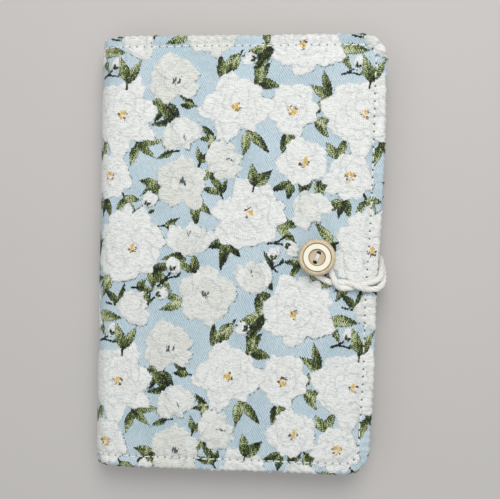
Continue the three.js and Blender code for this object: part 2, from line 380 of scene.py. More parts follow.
def weave(U, V):
    """The design at unfolded points: distances (mm, positive inside) and tones."""
    n = len(U)
    A = {k: np.full(n, -5.0) for k in ("white", "leaf", "gold", "brown", "slate")}
    A.update({k: np.zeros(n) for k in ("shade", "q", "ltone", "tone", "out", "height")})
    A["edge"] = np.full(n, 5.0)
    lo, hi = np.array([U.min(), V.min()]) - 26, np.array([U.max(), V.max()]) + 26
    order = np.argsort(U, kind="stable")
    Us = U[order]

    def near(x, y, r):
        a, b = np.searchsorted(Us, [x - r, x + r])
        k = order[a:b]
        return k[np.abs(V[k] - y) < r]

    def cover_up(k, f, keys):
        for key in keys:
            A[key][k] = np.where(A[key][k] > -4, np.minimum(A[key][k], -f), A[key][k])

    def strokes(k, px, py, tilt, half_l, half_w, key):
        u, v = px * math.cos(tilt) + py * math.sin(tilt), -px * math.sin(tilt) + py * math.cos(tilt)
        f = (1 - np.hypot(u / half_l, v / half_w)) * half_w
        cover_up(k, f, [o for o in ("gold", "brown", "slate") if o != key])
        A[key][k] = np.maximum(A[key][k], f)

    i0, i1 = math.floor(lo[0] / TILE[0]) - 1, math.ceil(hi[0] / TILE[0]) + 1
    j0, j1 = math.floor(lo[1] / TILE[1]) - 1, math.ceil(hi[1] / TILE[1]) + 1
    for P in PRIMS:
        for i in range(i0, i1):
            for j in range(j0, j1):
                ox, oy = i * TILE[0], j * TILE[1]
                if P["t"] == "stem":
                    pts = P["pts"] + [ox, oy]
                    c = pts.mean(0)
                    k = near(c[0], c[1], 13)
                    if not len(k):
                        continue
                    t = np.linspace(0, 1, 9)[:, None]
                    cur = (1 - t) ** 2 * pts[0] + 2 * t * (1 - t) * pts[1] + t * t * pts[2]
                    d = np.full(len(k), 9.0)
                    p = np.stack([U[k], V[k]], 1)
                    for a, b in zip(cur[:-1], cur[1:]):
                        ab = b - a
                        s = np.clip(((p - a) @ ab) / max(ab @ ab, 1e-9), 0, 1)
                        d = np.minimum(d, np.hypot(*(p - a - s[:, None] * ab).T))
                    f = P["w"] - d
                    A["leaf"][k] = np.maximum(A["leaf"][k], f)
                    A["ltone"][k[f > -0.35]] = 0.05
                    A["height"][k[f > 0]] = 0.4
                    continue
                x, y = P["x"] + ox, P["y"] + oy
                if P["t"] == "leaf":
                    k = near(x, y, P["L"] + 2)
                    if not len(k):
                        continue
                    dx, dy = U[k] - x, V[k] - y
                    ca, sa = math.cos(P["ang"]), math.sin(P["ang"])
                    a, b = dx * ca + dy * sa, -dx * sa + dy * ca
                    t = np.clip(a / P["L"], 0, 1)
                    b = b - P["curve"] * 0.35 * a * t
                    w = 1.08 * P["W"] * np.sin(math.pi * t**0.72) ** 1.15
                    tooth = (a * 0.85 - np.abs(b) * 0.75) / 1.5
                    w = w * (1 + 0.14 * (np.abs(tooth % 1 - 0.5) * 4 - 1))
                    f = np.where((a > 0) & (a < P["L"]), (w - np.abs(b)) * 0.85, -np.hypot(np.where(a < 0, a, a - P["L"]), b))
                    ins = f > 0
                    A["leaf"][k] = np.maximum(A["leaf"][k], f)
                    kk = k[ins]
                    half = np.clip(P["side"] * b / (w + 0.05), -1, 1)
                    along = t if P["side"] > 0 else 1 - t  # shaded from one end to the other, and one half deeper
                    tone = 0.02 + 0.40 * P["tone"] + 0.40 * sm(along, 0.1, 0.9) + 0.22 * sm(half, -0.5, 0.5)
                    tone = tone - 0.16 * (1 - sm(t, 0.0, 0.25)) - 0.2 * np.exp(-((b / 0.34) ** 2)) * (t < 0.85)
                    A["ltone"][kk] = np.clip(tone, 0, 1)[ins]
                    A["q"][kk] = (a * 0.85 - np.abs(b) * 0.75)[ins]
                    A["height"][kk] = 0.35 + 0.25 * sm(f[ins], 0, 1.2)
                    cover_up(k, f, ("white", "gold", "brown", "slate"))
                    continue
                k = near(x, y, P["r"] * 1.5)
                if not len(k):
                    continue
                rng = np.random.RandomState(P["seed"] ^ 77)
                dx, dy = U[k] - x, V[k] - y
                grey = P["kind"] == "B" and rng.rand() < 0.35
                own = 1.0 if grey else 0.8 if P["kind"] == "C" else 0.15
                union = np.full(len(k), -9.0)
                for pt in petals_of(P):
                    ca, sa = math.cos(pt["ang"]), math.sin(pt["ang"])
                    bx, by = dx + pt["back"] * math.cos(P["rot"]), dy + pt["back"] * math.sin(P["rot"])
                    a, b = bx * ca + by * sa, -bx * sa + by * ca
                    la, wb = pt["L"] * 0.56, pt["W"]
                    an, bn = (a - pt["L"] * 0.46) / la, b / wb
                    rho, psi = np.hypot(an, bn), np.arctan2(bn, an)
                    edge = 1.0
                    for m, hm in enumerate(HARM):
                        edge = edge + pt["c"][m] * np.cos(hm * psi + pt["p"][m])
                    edge = edge - pt["notch"] * np.exp(-((psi / 0.24) ** 2)) + 0.06 * np.cos(2 * psi) ** 2
                    f = (edge - rho) * min(la, wb)
                    ins = f > 0
                    ring = (f <= 0) & (f > -3) & (union > 0)
                    A["shade"][k[ring]] = np.maximum(A["shade"][k[ring]], np.exp(f[ring] / 0.6))
                    kk = k[ins]
                    A["edge"][kk] = f[ins]
                    A["shade"][kk] = 0.5 * np.exp(-((a[ins] / (0.3 * pt["L"])) ** 2)) * (pt["layer"] < 0.7)
                    A["tone"][kk] = 0.3 * pt["tone"] + 0.7 * own
                    th = pt["thread"]
                    A["q"][kk] = (b * math.cos(th) + a * math.sin(th))[ins] + 40 * pt["tone"]
                    A["height"][kk] = 0.62 + 0.1 * pt["layer"] + 0.1 * sm(f[ins], 0, 1.6)
                    cover_up(k, f, ("leaf", "gold", "brown", "slate"))
                    union = np.maximum(union, f)
                A["white"][k] = np.maximum(A["white"][k], union)
                rim = np.abs(union) < 1.6
                ang = np.arctan2(dy, dx)
                wgt = np.clip(np.cos(ang + 0.8), 0, 1) ** 0.8 * (0.5 + 0.5 * np.sin(3 * ang + P["rot"]))
                A["out"][k[rim]] = np.maximum(A["out"][k[rim]] * (union[rim] < 0), wgt[rim])
                # stamens: short upright strokes
                if P["kind"] in "AB":
                    cx, cy = dx - 0.05 * P["r"] * rng.randn(), dy - 0.05 * P["r"] * rng.randn()
                    if grey:
                        for m in range(3):
                            px, py = cx - 0.85 * rng.randn(), cy - 0.95 * rng.randn()
                            strokes(k, px, py, 1.57 + 0.4 * rng.randn(), 1.3 + 0.5 * rng.rand(), 0.5 + 0.15 * rng.rand(), "slate")
                    else:
                        for m in range(rng.randint(5, 8)):
                            px, py = cx - 0.95 * rng.randn(), cy - 0.75 * rng.randn()
                            strokes(k, px, py, 1.57 + 0.5 * rng.randn(), 0.95 + 0.45 * rng.rand(), 0.52 + 0.16 * rng.rand(), "gold")
                        for m in range(rng.randint(4, 7)):
                            at, rr = 6.283 * rng.rand(), 1.6 + 0.7 * rng.rand()
                            strokes(k, cx - rr * math.cos(at), cy - rr * math.sin(at), 1.57 + 0.6 * rng.randn(), 0.65 + 0.35 * rng.rand(), 0.46 + 0.12 * rng.rand(), "brown")
                elif P["kind"] == "C" and rng.rand() < 0.6:
                    for m in range(2):
                        t = P["rot"] + 0.4 * rng.randn()
                        rr = P["r"] * (0.1 + 0.3 * rng.rand())
                        strokes(k, dx - rr * math.cos(t), dy - rr * math.sin(t), t, 1.3, 0.36, "slate")
    return A


def woven_attrs(U, V, S, E):
    A = weave(U, V)
    relief = 0.34 * sm(np.maximum(A["white"], A["leaf"] * 0.8), -0.35, 0.55) * (0.55 + 0.6 * A["height"])
    relief = relief - 0.045 * np.clip(A["shade"], 0, 1) * (A["white"] > 0)
    z = np.zeros_like(U)
    return relief, {
        "fab": np.stack([U, V, z], 1),
        "p1": np.stack([A["white"], A["leaf"], A["gold"]], 1),
        "p2": np.stack([A["edge"], A["shade"], A["q"]], 1),
        "p3": np.stack([A["brown"], A["ltone"], A["slate"]], 1),
        "p4": np.stack([A["tone"], A["out"], A["height"]], 1),
        "st": np.stack([S, E, 0.72 + 0.28 * ((S > U1 + 4) & (S < PATH_LEN - U1 - 4))], 1),
    }


# ---------------------------------------------------------------- the covers' surface
def base(u):
    """Section of the closed case from the middle of the spine over the front: x, z and outward normal."""
    up = np.clip(1 - (u - U0) / RUN, 0, 1)
    x = np.where(u < U0, np.interp(u, NOSE_U, NOSE_X), SPINE_X + u - U0)
    z = np.where(u < U0, np.interp(u, NOSE_U, NOSE_Z), THICK - DROP * up**2)
    tilt = np.where(u < U0, np.interp(u, NOSE_U, NOSE_T), np.arctan(SLOPE * up))
    return x, z, -np.sin(tilt), np.cos(tilt)


def edge_coords(u, v):
    """Distance in from the outline, distance along the stitch path, and the outward direction in plan."""
    x = u - U0 + SPINE_X
    dx, dy = x - (HW - CORNER), np.abs(v) - (HH - CORNER)
    corner = (dx > 0) & (dy > 0)
    hyp = np.hypot(dx, dy)
    e = np.where(corner, CORNER - hyp, np.minimum(HW - x, HH - np.abs(v)))
    psi = np.arctan2(np.maximum(dx, 0), np.maximum(dy, 1e-9))
    up = v > 0
    side = ~corner & (HW - x < HH - np.abs(v))
    rc = CORNER - STITCH_IN
    s_right = U1 + QUARTER + (v + HH - CORNER)
    s_low = np.where(corner, U1 + rc * psi, np.minimum(u, U1))
    s_high = np.where(corner, U1 + QUARTER + 2 * (HH - CORNER) + rc * (math.pi / 2 - psi), U1 + 2 * QUARTER + 2 * (HH - CORNER) + np.maximum(U1 - u, 0))
    s = np.where(side, s_right, np.where(up, s_high, s_low))
    ox = np.where(corner, dx / np.maximum(hyp, 1e-9), np.where(side, 1.0, 0.0))
    oy = np.where(corner, np.sign(v) * dy / np.maximum(hyp, 1e-9), np.where(side, 0.0, np.sign(v)))
    return e, s, ox, oy


def stitch_path(s):
    """Unfolded point on the stitch line at distance s along it."""
    s = np.asarray(s, float)
    rc = CORNER - STITCH_IN
    s1, s2 = U1 + QUARTER, U1 + QUARTER + 2 * (HH - CORNER)
    s3 = s2 + QUARTER
    a = np.clip((s - U1) / rc, 0, math.pi / 2)
    b = np.clip((s - s2) / rc, 0, math.pi / 2)
    u = np.where(s < U1, s, np.where(s < s1, U1 + rc * np.sin(a), np.where(s < s2, U1 + rc, np.where(s < s3, U1 + rc * np.cos(b), U1 - (s - s3)))))
    v = np.where(s < U1, -HH + STITCH_IN, np.where(s < s1, -(HH - CORNER) - rc * np.cos(a), np.where(s < s2, -(HH - CORNER) + (s - s1), np.where(s < s3, (HH - CORNER) + rc * np.sin(b), HH - STITCH_IN))))
    return u, v


def wob(a, b, seed, scale):
    """A smooth, fixed, random-looking surface: a few sine waves."""
    rng = np.random.RandomState(seed)
    out = 0.0
    for _ in range(6):
        k = rng.randn(2)
        k = k / np.hypot(*k) * (0.6 + rng.rand()) * 2 * math.pi / scale
        out = out + np.sin(a * k[0] + b * k[1] + rng.rand() * 6.283)
    return out / 6


CLOTH_STEP, CLOTH_CAP = 1.2, 1.0


def blur(f, n):
    """Mean over a running window, twice, along both directions."""
    for axis in (0, 1, 0, 1):
        pad = [(n, n) if a == axis else (0, 0) for a in (0, 1)]
        c = np.cumsum(np.pad(f, pad, mode="edge"), axis)
        c = np.concatenate([np.zeros_like(np.take(c, [0], axis)), c], axis)
        k = f.shape[axis]
        f = (np.take(c, np.arange(2 * n + 1, 2 * n + 1 + k), axis) - np.take(c, np.arange(k), axis)) / (2 * n + 1)
    return f


def filled_cloth():
    """A cover's fabric as cloth: cut a little full, sewn down through the needle holes and at the rim, and pushed
    out by the padding under it, which gives no more than CLOTH_CAP. Returns the height over the stitch line."""
    nu = int(round((U0 + HW - SPINE_X) / CLOTH_STEP)) + 1
    nv = int(round(2 * HH / CLOTH_STEP)) + 1
    U, V = np.meshgrid(np.linspace(0, U0 + HW - SPINE_X, nu), np.linspace(-HH, HH, nv), indexing="ij")
    e, s, _, _ = edge_coords(U, V)
    held = 0.36 * (1 - sm(e, 1.0, STITCH_IN))
    unit = 0.1  # the solver works in centimetres
    rough = 0.05 * np.random.RandomState(3).randn(nu, nv)
    verts = np.stack([U, V, held + rough], -1).reshape(-1, 3) * unit
    me = bpy.data.meshes.new("cloth")
    me.from_pydata(verts.tolist(), [], grid_faces(nu, nv).tolist())
    ob = bpy.data.objects.new("cloth", me)
    scene = bpy.context.scene
    scene.collection.objects.link(ob)
    sewn = (np.abs(e - STITCH_IN) < 0.75) & (np.abs((s / PITCH) % 1 - 0.5) < 0.2)
    fixed = sewn | (e < 1.0)
    ob.vertex_groups.new(name="sewn").add(np.nonzero(fixed.ravel())[0].tolist(), 1.0, "REPLACE")
    md = ob.modifiers.new("cloth", "CLOTH")
    st = md.settings
    st.quality, st.mass = 4, 0.3
    st.tension_stiffness = st.compression_stiffness = 15
    st.shear_stiffness, st.bending_stiffness = 5, 0.5
    st.vertex_group_mass = "sewn"
    st.use_pressure, st.uniform_pressure_force = True, 0.1
    st.shrink_min = -0.05
    st.effector_weights.gravity = 0.0
    md.collision_settings.use_collision = False
    md.collision_settings.use_self_collision = False
    first = scene.frame_current
    md.point_cache.frame_start, md.point_cache.frame_end = 1, 20
    for f in range(1, 21):
        scene.frame_set(f)
    done = np.empty(len(me.vertices) * 3)
    ob.evaluated_get(bpy.context.evaluated_depsgraph_get()).data.vertices.foreach_get("co", done)
    z = done.reshape(nu, nv, 3)[..., 2] / unit
    scene.frame_set(first)
    bpy.data.objects.remove(ob)
    bpy.data.meshes.remove(me)
    folds = z - blur(z, 9)
    z = CLOTH_CAP * np.tanh(z / CLOTH_CAP) + 0.13 * np.clip(folds, -2, 2) * sm(e, STITCH_IN + 1, STITCH_IN + 8)
    return np.clip(z, -0.5, 1.6)


CLOTH = filled_cloth()


def cloth_height(u, v):
    """The cloth's height at unfolded points, by cubic B-splines."""
    a, b = np.asarray(u, float) / CLOTH_STEP, (np.asarray(v, float) + HH) / (2 * HH) * (CLOTH.shape[1] - 1)
    a = a * (CLOTH.shape[0] - 1) * CLOTH_STEP / (U0 + HW - SPINE_X)
    i, j = np.floor(a).astype(int), np.floor(b).astype(int)

    def weights(t):
        return [(1 - t) ** 3 / 6, (3 * t**3 - 6 * t**2 + 4) / 6, (-3 * t**3 + 3 * t**2 + 3 * t + 1) / 6, t**3 / 6]

    wa, wb = weights(a - i), weights(b - j)
    out = 0.0
    for k in range(4):
        ik = np.clip(i + k - 1, 0, CLOTH.shape[0] - 1)
        for m in range(4):
            out = out + wa[k] * wb[m] * CLOTH[ik, np.clip(j + m - 1, 0, CLOTH.shape[1] - 1)]
    return out


def puff(u, v, e, s, front):
    """Height of the fabric over the flat cover, outwards."""
    x = u - U0 + SPINE_X
    ph = 2 * math.pi * s / PITCH
    h = (cloth_height(u, v if front else -v) - CLOTH_CAP) * np.maximum(sm(u, 1.0, 13.0), 1 - sm(e, 5.0, 9.0)) - 0.18 * (1 - sm(e, 1.3, 3.2))
    h = h - 0.12 * np.exp(-(((e - STITCH_IN) / 1.15) ** 2)) * (0.82 - 0.18 * np.cos(ph))
    h = h - 0.25 * np.exp(-(((e - STITCH_IN) / 0.75) ** 2)) * np.exp(-((((s / PITCH) % 1) - 0.5) / 0.2) ** 2)
    pk = wob(s, 0 * s, 5, 11.0) + 0.6 * wob(s, 0 * s, 6, 7.5)
    h = h + 0.14 * pk * np.exp(-np.abs(e - STITCH_IN) / 3.6) * sm(e, 0.4, 2.5)
    bend = np.exp(-(((s - U1 - QUARTER / 2) / 12) ** 2)) + np.exp(-(((PATH_LEN - s - U1 - QUARTER / 2) / 12) ** 2))
    gather = np.cos(ph + 1.6 * wob(s, 0 * s, 16, 30.0)) + 0.8 * np.cos(1.9 * ph + 3.0 * wob(s, 0 * s, 17, 22.0))
    h = h + (0.13 + 0.08 * bend) * gather * (1 - sm(e, STITCH_IN - 1.2, STITCH_IN + 1.6)) * sm(e, 0.2, 2.0)
    spine = sm(u, 10.0, 34.0)
    if front:
        crown = (1 - ((x - 4) / 70) ** 2).clip(0, 1) * (1 - (v / 110) ** 2).clip(0, 1)
        rb = np.hypot(x - BUTTON[0], v - BUTTON[1])
        calm = 1 - np.exp(-((rb / 17) ** 2))  # the loop holds the cover down round the button
        h = h + spine * calm * (0.7 * crown + 0.32 * wob(x, v, 2, 70.0) + 0.14 * wob(x, v, 3, 28.0))
        h = h - 0.5 * np.exp(-((rb / 4.5) ** 2))
        # a soft trough where the loop is drawn over the edge
        h = h - 0.5 * np.exp(-(((v + 15.5) / 3.4) ** 2)) * sm(x, 52, 71)
    else:
        h = h + spine * (0.22 * wob(x, v, 8, 70.0) - 0.3)
    fold = 0.2 * wob(0 * u, v, 9, 60.0) + 0.2 * wob(u * 3.0, v, 10, 42.0) * sm(u, 1.0, 6.0)
    return h + (1 - spine) * fold


def above_table(u, h):
    """Keeps the back cover's fabric on or above the plane that the case lies on."""
    _, z, _, nz = base(u)
    return np.minimum(h, np.where(nz > 0.05, (THICK - 0.01 - z) / np.maximum(nz, 0.05), 9.0))


def soften(p, front):
    """The small irregularity of the front cover's outline; the back cover is drawn in with it towards the tail."""
    q = p.copy()
    sx = np.clip((p[:, 0] - SPINE_X) / (HW - SPINE_X), 0, 1.05)
    if not front:
        q[:, 0] -= 0.8 * (LEAN * np.clip(-p[:, 1] / HH, 0, 2) + 2.2 * sm(-p[:, 1], 12.0, 90.0)) * sx
        return q
    q[:, 0] += LEAN * (p[:, 1] / HH) * sx + DENT * np.exp(-(((p[:, 1] + 15) / 20) ** 2)) * sx**7
    q[:, 0] += 0.28 * wob(p[:, 1], 0 * p[:, 1], 12, 60.0) * sx**3 - (1.0 * sm(-p[:, 1], 40.0, 108.0) + 1.2 * sm(-p[:, 1], 4.0, 50.0)) * sx
    q[:, 1] += np.sign(p[:, 1]) * 0.3 * wob(p[:, 0], 0 * p[:, 0], 13, 70.0) * sm(np.abs(p[:, 1]), 80, 108) * sm(p[:, 0], -60, -20)
    return q


def droop(x):
    """How far the front cover bends down towards its fore edge, where the loop holds it."""
    return 1.2 * np.clip((x - HW + 10.0) / 10.0, 0, 1.1) ** 2


def cover_point(u, v, h, front):
    """Points at height h over the cover's outer surface, and the normals there."""
    x, z, nx, nz = base(u)
    p = np.stack([x + nx * h, v, z + nz * h], 1)
    p = soften(p, front)
    n = np.stack([nx, 0 * nx, nz], 1)
    if front:
        p[:, 2] -= droop(u - U0 + SPINE_X)
    else:
        p[:, 2] = THICK - p[:, 2]
        n[:, 2] *= -1
    return p, n


def plan_grid(step, inset, spine_cols):
    """Unfolded grid of a cover out to a line set in from the outline, rounded at the fore-edge corners."""
    flat = THICK / 2 - SPINE_R
    us = np.r_[np.linspace(0, flat, 3)[:-1], np.linspace(flat, U0, spine_cols)[:-1]]
    n_x = int(round((HW - inset - SPINE_X) / step)) + 1
    us = np.r_[us, U0 + np.linspace(0, HW - inset - SPINE_X, n_x)]
    vs = np.linspace(-(HH - inset), HH - inset, int(round(2 * (HH - inset) / step)) + 1)
    U, V = np.meshgrid(us, vs, indexing="ij")
    r = CORNER - inset
    uc, vc = U1, HH - CORNER
    a, b = (U - uc) / r, (np.abs(V) - vc) / r
    m = (a > 0) & (b > 0)
    a2, b2 = a * np.sqrt(np.clip(1 - b * b / 2, 0, 1)), b * np.sqrt(np.clip(1 - a * a / 2, 0, 1))
    U = np.where(m, uc + r * a2, U)
    V = np.where(m, np.sign(V) * (vc + r * b2), V)
    return U, V


def boundary(nu, nv):
    idx = np.arange(nu * nv).reshape(nu, nv)
    return np.r_[idx[:, 0], idx[-1, 1:], idx[-2::-1, -1]]


def outer_fabric(front, mat):
    side = "front" if front else "back"
    U, V = plan_grid(0.6, ROLL, 18)
    nu, nv = U.shape
    u, v = U.ravel(), V.ravel()
    loop = boundary(nu, nv)
    # rings of the rolled rim, as unfolded points
    e, s, ox, oy = edge_coords(u[loop], v[loop])
    th = np.radians(np.array([14, 30, 50, 70, 90, 110, 132, 155, 172]))
    ru = [u[loop] + ox * 0.5 * (ROLL + ROLL_Z) * t for t in th]
    rv = [v[loop] + oy * 0.5 * (ROLL + ROLL_Z) * t for t in th]
    au, av = np.r_[u, np.concatenate(ru)], np.r_[v, np.concatenate(rv)]
    ea, sa, _, _ = edge_coords(au, av)
    relief, attrs = woven_attrs(au if front else -au, av, sa, ea - STITCH_IN)
    n0 = len(u)
    h = puff(u, v, ea[:n0], sa[:n0], front)
    if front:
        hh = h + relief[:n0]
    else:
        hh = above_table(u, h + relief[:n0] - 0.34 * sm(u, 4, 20))
    hh = np.maximum(hh, 0.32 - lining_depth(u, ea[:n0]))
    p, n = cover_point(u, v, hh, front)
    out3 = np.stack([ox, oy, 0 * ox], 1)
    verts, rings, k = [p], [], n0
    wav = 0.11 * np.cos(2 * math.pi * s / PITCH) + 0.11 * wob(s, 0 * s, 15, 9.0)
    for m, t in enumerate(th):
        bulge = 1 + wav * math.sin(t)
        rel = relief[n0 + m * len(loop) : n0 + (m + 1) * len(loop)][:, None]
        q = p[loop] + out3 * (ROLL * math.sin(t) * bulge)[:, None] - n[loop] * (ROLL_Z * (1 - math.cos(t)))
        q = q + (out3 * math.sin(t) + n[loop] * math.cos(t)) * (rel - relief[loop][:, None]) * 0.9
        verts.append(q)
        rings.append(np.arange(k, k + len(loop)))
        k += len(loop)
    faces = np.concatenate([grid_faces(nu, nv, not front), strip_faces(loop, rings, not front)])
    ob = make_mesh(side + "_outer_fabric", np.concatenate(verts), faces, mat, attrs)
    return ob


def lining_depth(u, e):
    pad = sm(u, 8.0, 24.0)  # the spine has no padding
    return 1.0 + 2.6 * pad - (0.15 + 0.27 * pad) * np.exp(-(((e - STITCH_IN) / 1.3) ** 2)) - 0.55 * pad * (1 - sm(e, 0.3, 2.4))


def lining_sheet(front, mat):
    side = "front" if front else "back"
    U, V = plan_grid(1.5, 1.2, 12)
    nu, nv = U.shape
    u, v = U.ravel(), V.ravel()
    e, s, _, _ = edge_coords(u, v)
    dep = lining_depth(u, e) + 0.1 * wob(u, v, 21, 40.0) * sm(e, 5, 14)
    dep = dep - 0.10 * np.exp(-(((e - STITCH_IN) / 1.2) ** 2)) * np.cos(2 * math.pi * s / PITCH)
    p, _ = cover_point(u, v, -dep, front)
    ob = make_mesh(side + "_lining_cloth", p, grid_faces(nu, nv, front), mat, {"fab": np.stack([u if front else -u, v, 0 * u], 1)})
    return ob


def topstitch(front, mat):
    """White running stitches on the outside and, through the cover, on the lining."""
    side = "front" if front else "back"
    B = Build()
    t = np.linspace(0, 1, 9)
    rng = np.random.RandomState(31 if front else 32)
    i = np.arange(-1 if front else 0, N_STITCH if front else N_STITCH - 1)
    ss = ((i[:, None] + 0.5) * PITCH + 0.3 + (PITCH - 0.6) * t[None, :]).ravel()
    uu, vv = stitch_path(ss)
    _, _, ox, oy = edge_coords(uu, vv)
    arch = np.tile(1 - (2 * t - 1) ** 6, len(i))
    r0 = np.sqrt(np.clip(1 - (2 * t - 1) ** 8, 0.03, 1))
    A = weave(uu if front else -uu, vv)
    rel = 0.3 * sm(np.maximum(A["white"], A["leaf"]), -0.3, 0.5)
    line = np.full(len(ss), STITCH_IN)
    for layer in ("out", "in"):
        drift = np.repeat(0.16 * rng.randn(len(i)), 9)
        u, v = uu + ox * drift, vv + oy * drift
        if layer == "out":
            hh = puff(u, v, line, ss, front) + rel * 0.5 + 0.62 * arch - 0.55
            if not front:
                hh = above_table(u, hh + 0.25) - 0.4
            hh = np.where(u < U0 + 2.0, np.maximum(hh, -0.34), hh)  # the spine has no padding to sink into
        else:
            hh = -lining_depth(u, line) - 0.42 * arch + 0.5
        p, _ = cover_point(u, v, hh, front)
        for k in range(len(i)):
            if layer == "in" and u[9 * k + 4] < U0 - 0.5:
                continue  # the leaves are sewn in there
            tv, tf = tube(p[9 * k : 9 * k + 9], 0.34 * r0 * (0.92 + 0.16 * rng.rand()), 7)
            B.add(tv, tf, along=np.repeat(ss[9 * k : 9 * k + 9], 7))
    return B.make(side + "_topstitch", mat)


# ---------------------------------------------------------------- materials
class Mat:
    """A material built node by node."""

    def __init__(self, name, rough=0.7, sheen=0.0, sheen_rough=0.5, spec=0.5):
        self.m = bpy.data.materials.new(name)
        self.m.use_nodes = True
        self.t = self.m.node_tree
        self.t.nodes.clear()
        out = self.t.nodes.new("ShaderNodeOutputMaterial")
        self.b = self.t.nodes.new("ShaderNodeBsdfPrincipled")
        self.t.links.new(self.b.outputs[0], out.inputs[0])
        self.b.inputs["Roughness"].default_value = rough
        self.b.inputs["Specular IOR Level"].default_value = spec
        self.b.inputs["Sheen Weight"].default_value = sheen
        self.b.inputs["Sheen Roughness"].default_value = sheen_rough

    def put(self, sock, v):
        if isinstance(v, bpy.types.NodeSocket):
            self.t.links.new(v, sock)
        elif isinstance(v, str):
            sock.default_value = lin(v)
        else:
            sock.default_value = v

    def attr(self, name):
        n = self.t.nodes.new("ShaderNodeAttribute")
        n.attribute_name = name
        return n.outputs["Vector"]

    def value(self, name):
        n = self.t.nodes.new("ShaderNodeAttribute")
        n.attribute_name = name
        return n.outputs["Fac"]

    def local(self):
        return self.t.nodes.new("ShaderNodeTexCoord").outputs["Object"]

    def math(self, op, a, b=0.0, c=0.0, clamp=False):
        n = self.t.nodes.new("ShaderNodeMath")
        n.operation, n.use_clamp = op, clamp
        for s, v in zip(n.inputs, (a, b, c)):
            self.put(s, v)
        return n.outputs[0]

    def vmath(self, op, a, b=(0, 0, 0), out=0):
        n = self.t.nodes.new("ShaderNodeVectorMath")
        n.operation = op
        self.put(n.inputs[0], a)
        if op == "SCALE":
            self.put(n.inputs["Scale"], b)
        else:
            self.put(n.inputs[1], b)
        return n.outputs[out]

    def sep(self, v):
        n = self.t.nodes.new("ShaderNodeSeparateXYZ")
        self.put(n.inputs[0], v)
        return n.outputs[0], n.outputs[1], n.outputs[2]

    def comb(self, x, y, z=0.0):
        n = self.t.nodes.new("ShaderNodeCombineXYZ")
        for s, v in zip(n.inputs, (x, y, z)):
            self.put(s, v)
        return n.outputs[0]

    def mix(self, fac, a, b, mode="MIX"):
        n = self.t.nodes.new("ShaderNodeMix")
        n.data_type, n.blend_type = "RGBA", mode
        self.put(n.inputs[0], fac)
        self.put(n.inputs[6], a)
        self.put(n.inputs[7], b)
        return n.outputs[2]

    def span(self, v, a, b, c=0.0, d=1.0, smooth=True):
        n = self.t.nodes.new("ShaderNodeMapRange")
        n.interpolation_type = "SMOOTHSTEP" if smooth else "LINEAR"
        self.put(n.inputs[0], v)
        for s, x in zip(n.inputs[1:5], (a, b, c, d)):
            self.put(s, x)
        return n.outputs[0]

    def noise(self, v, scale, detail=2.0, rough=0.5, color=False):
        n = self.t.nodes.new("ShaderNodeTexNoise")
        self.put(n.inputs["Vector"], v)
        n.inputs["Scale"].default_value = scale
        n.inputs["Detail"].default_value = detail
        n.inputs["Roughness"].default_value = rough
        return n.outputs["Color" if color else "Fac"]

    def random(self, v, color=False):
        n = self.t.nodes.new("ShaderNodeTexWhiteNoise")
        n.noise_dimensions = "3D"
        self.put(n.inputs[0], v)
        return n.outputs["Color" if color else "Value"]

    def cells(self, v, size):
        """One random value per cell of a grid."""
        w = self.vmath("DIVIDE", v, (size[0], size[1], 1.0))
        return self.random(self.vmath("FLOOR", self.vmath("ADD", w, (0.37, 0.21, 0.5))))

    def lines(self, t, pitch, phase=0.0):
        """A sine of the distance t, between 0 and 1."""
        a = self.math("MULTIPLY_ADD", t, 2 * math.pi / pitch, phase)
        return self.math("MULTIPLY_ADD", self.math("SINE", a), 0.5, 0.5)

    def ramp(self, fac, stops):
        n = self.t.nodes.new("ShaderNodeValToRGB")
        self.put(n.inputs[0], fac)
        r = n.color_ramp
        while len(r.elements) < len(stops):
            r.elements.new(0.5)
        for e, (pos, col) in zip(r.elements, stops):
            e.position, e.color = pos, lin(col)
        return n.outputs[0]

    def bump(self, h, dist, strength=1.0):
        n = self.t.nodes.new("ShaderNodeBump")
        n.inputs["Strength"].default_value = strength
        n.inputs["Distance"].default_value = dist
        self.put(n.inputs["Height"], h)
        self.t.links.new(n.outputs[0], self.b.inputs["Normal"])

    def color(self, c):
        self.put(self.b.inputs["Base Color"], c)

    def rough(self, c):
        self.put(self.b.inputs["Roughness"], c)


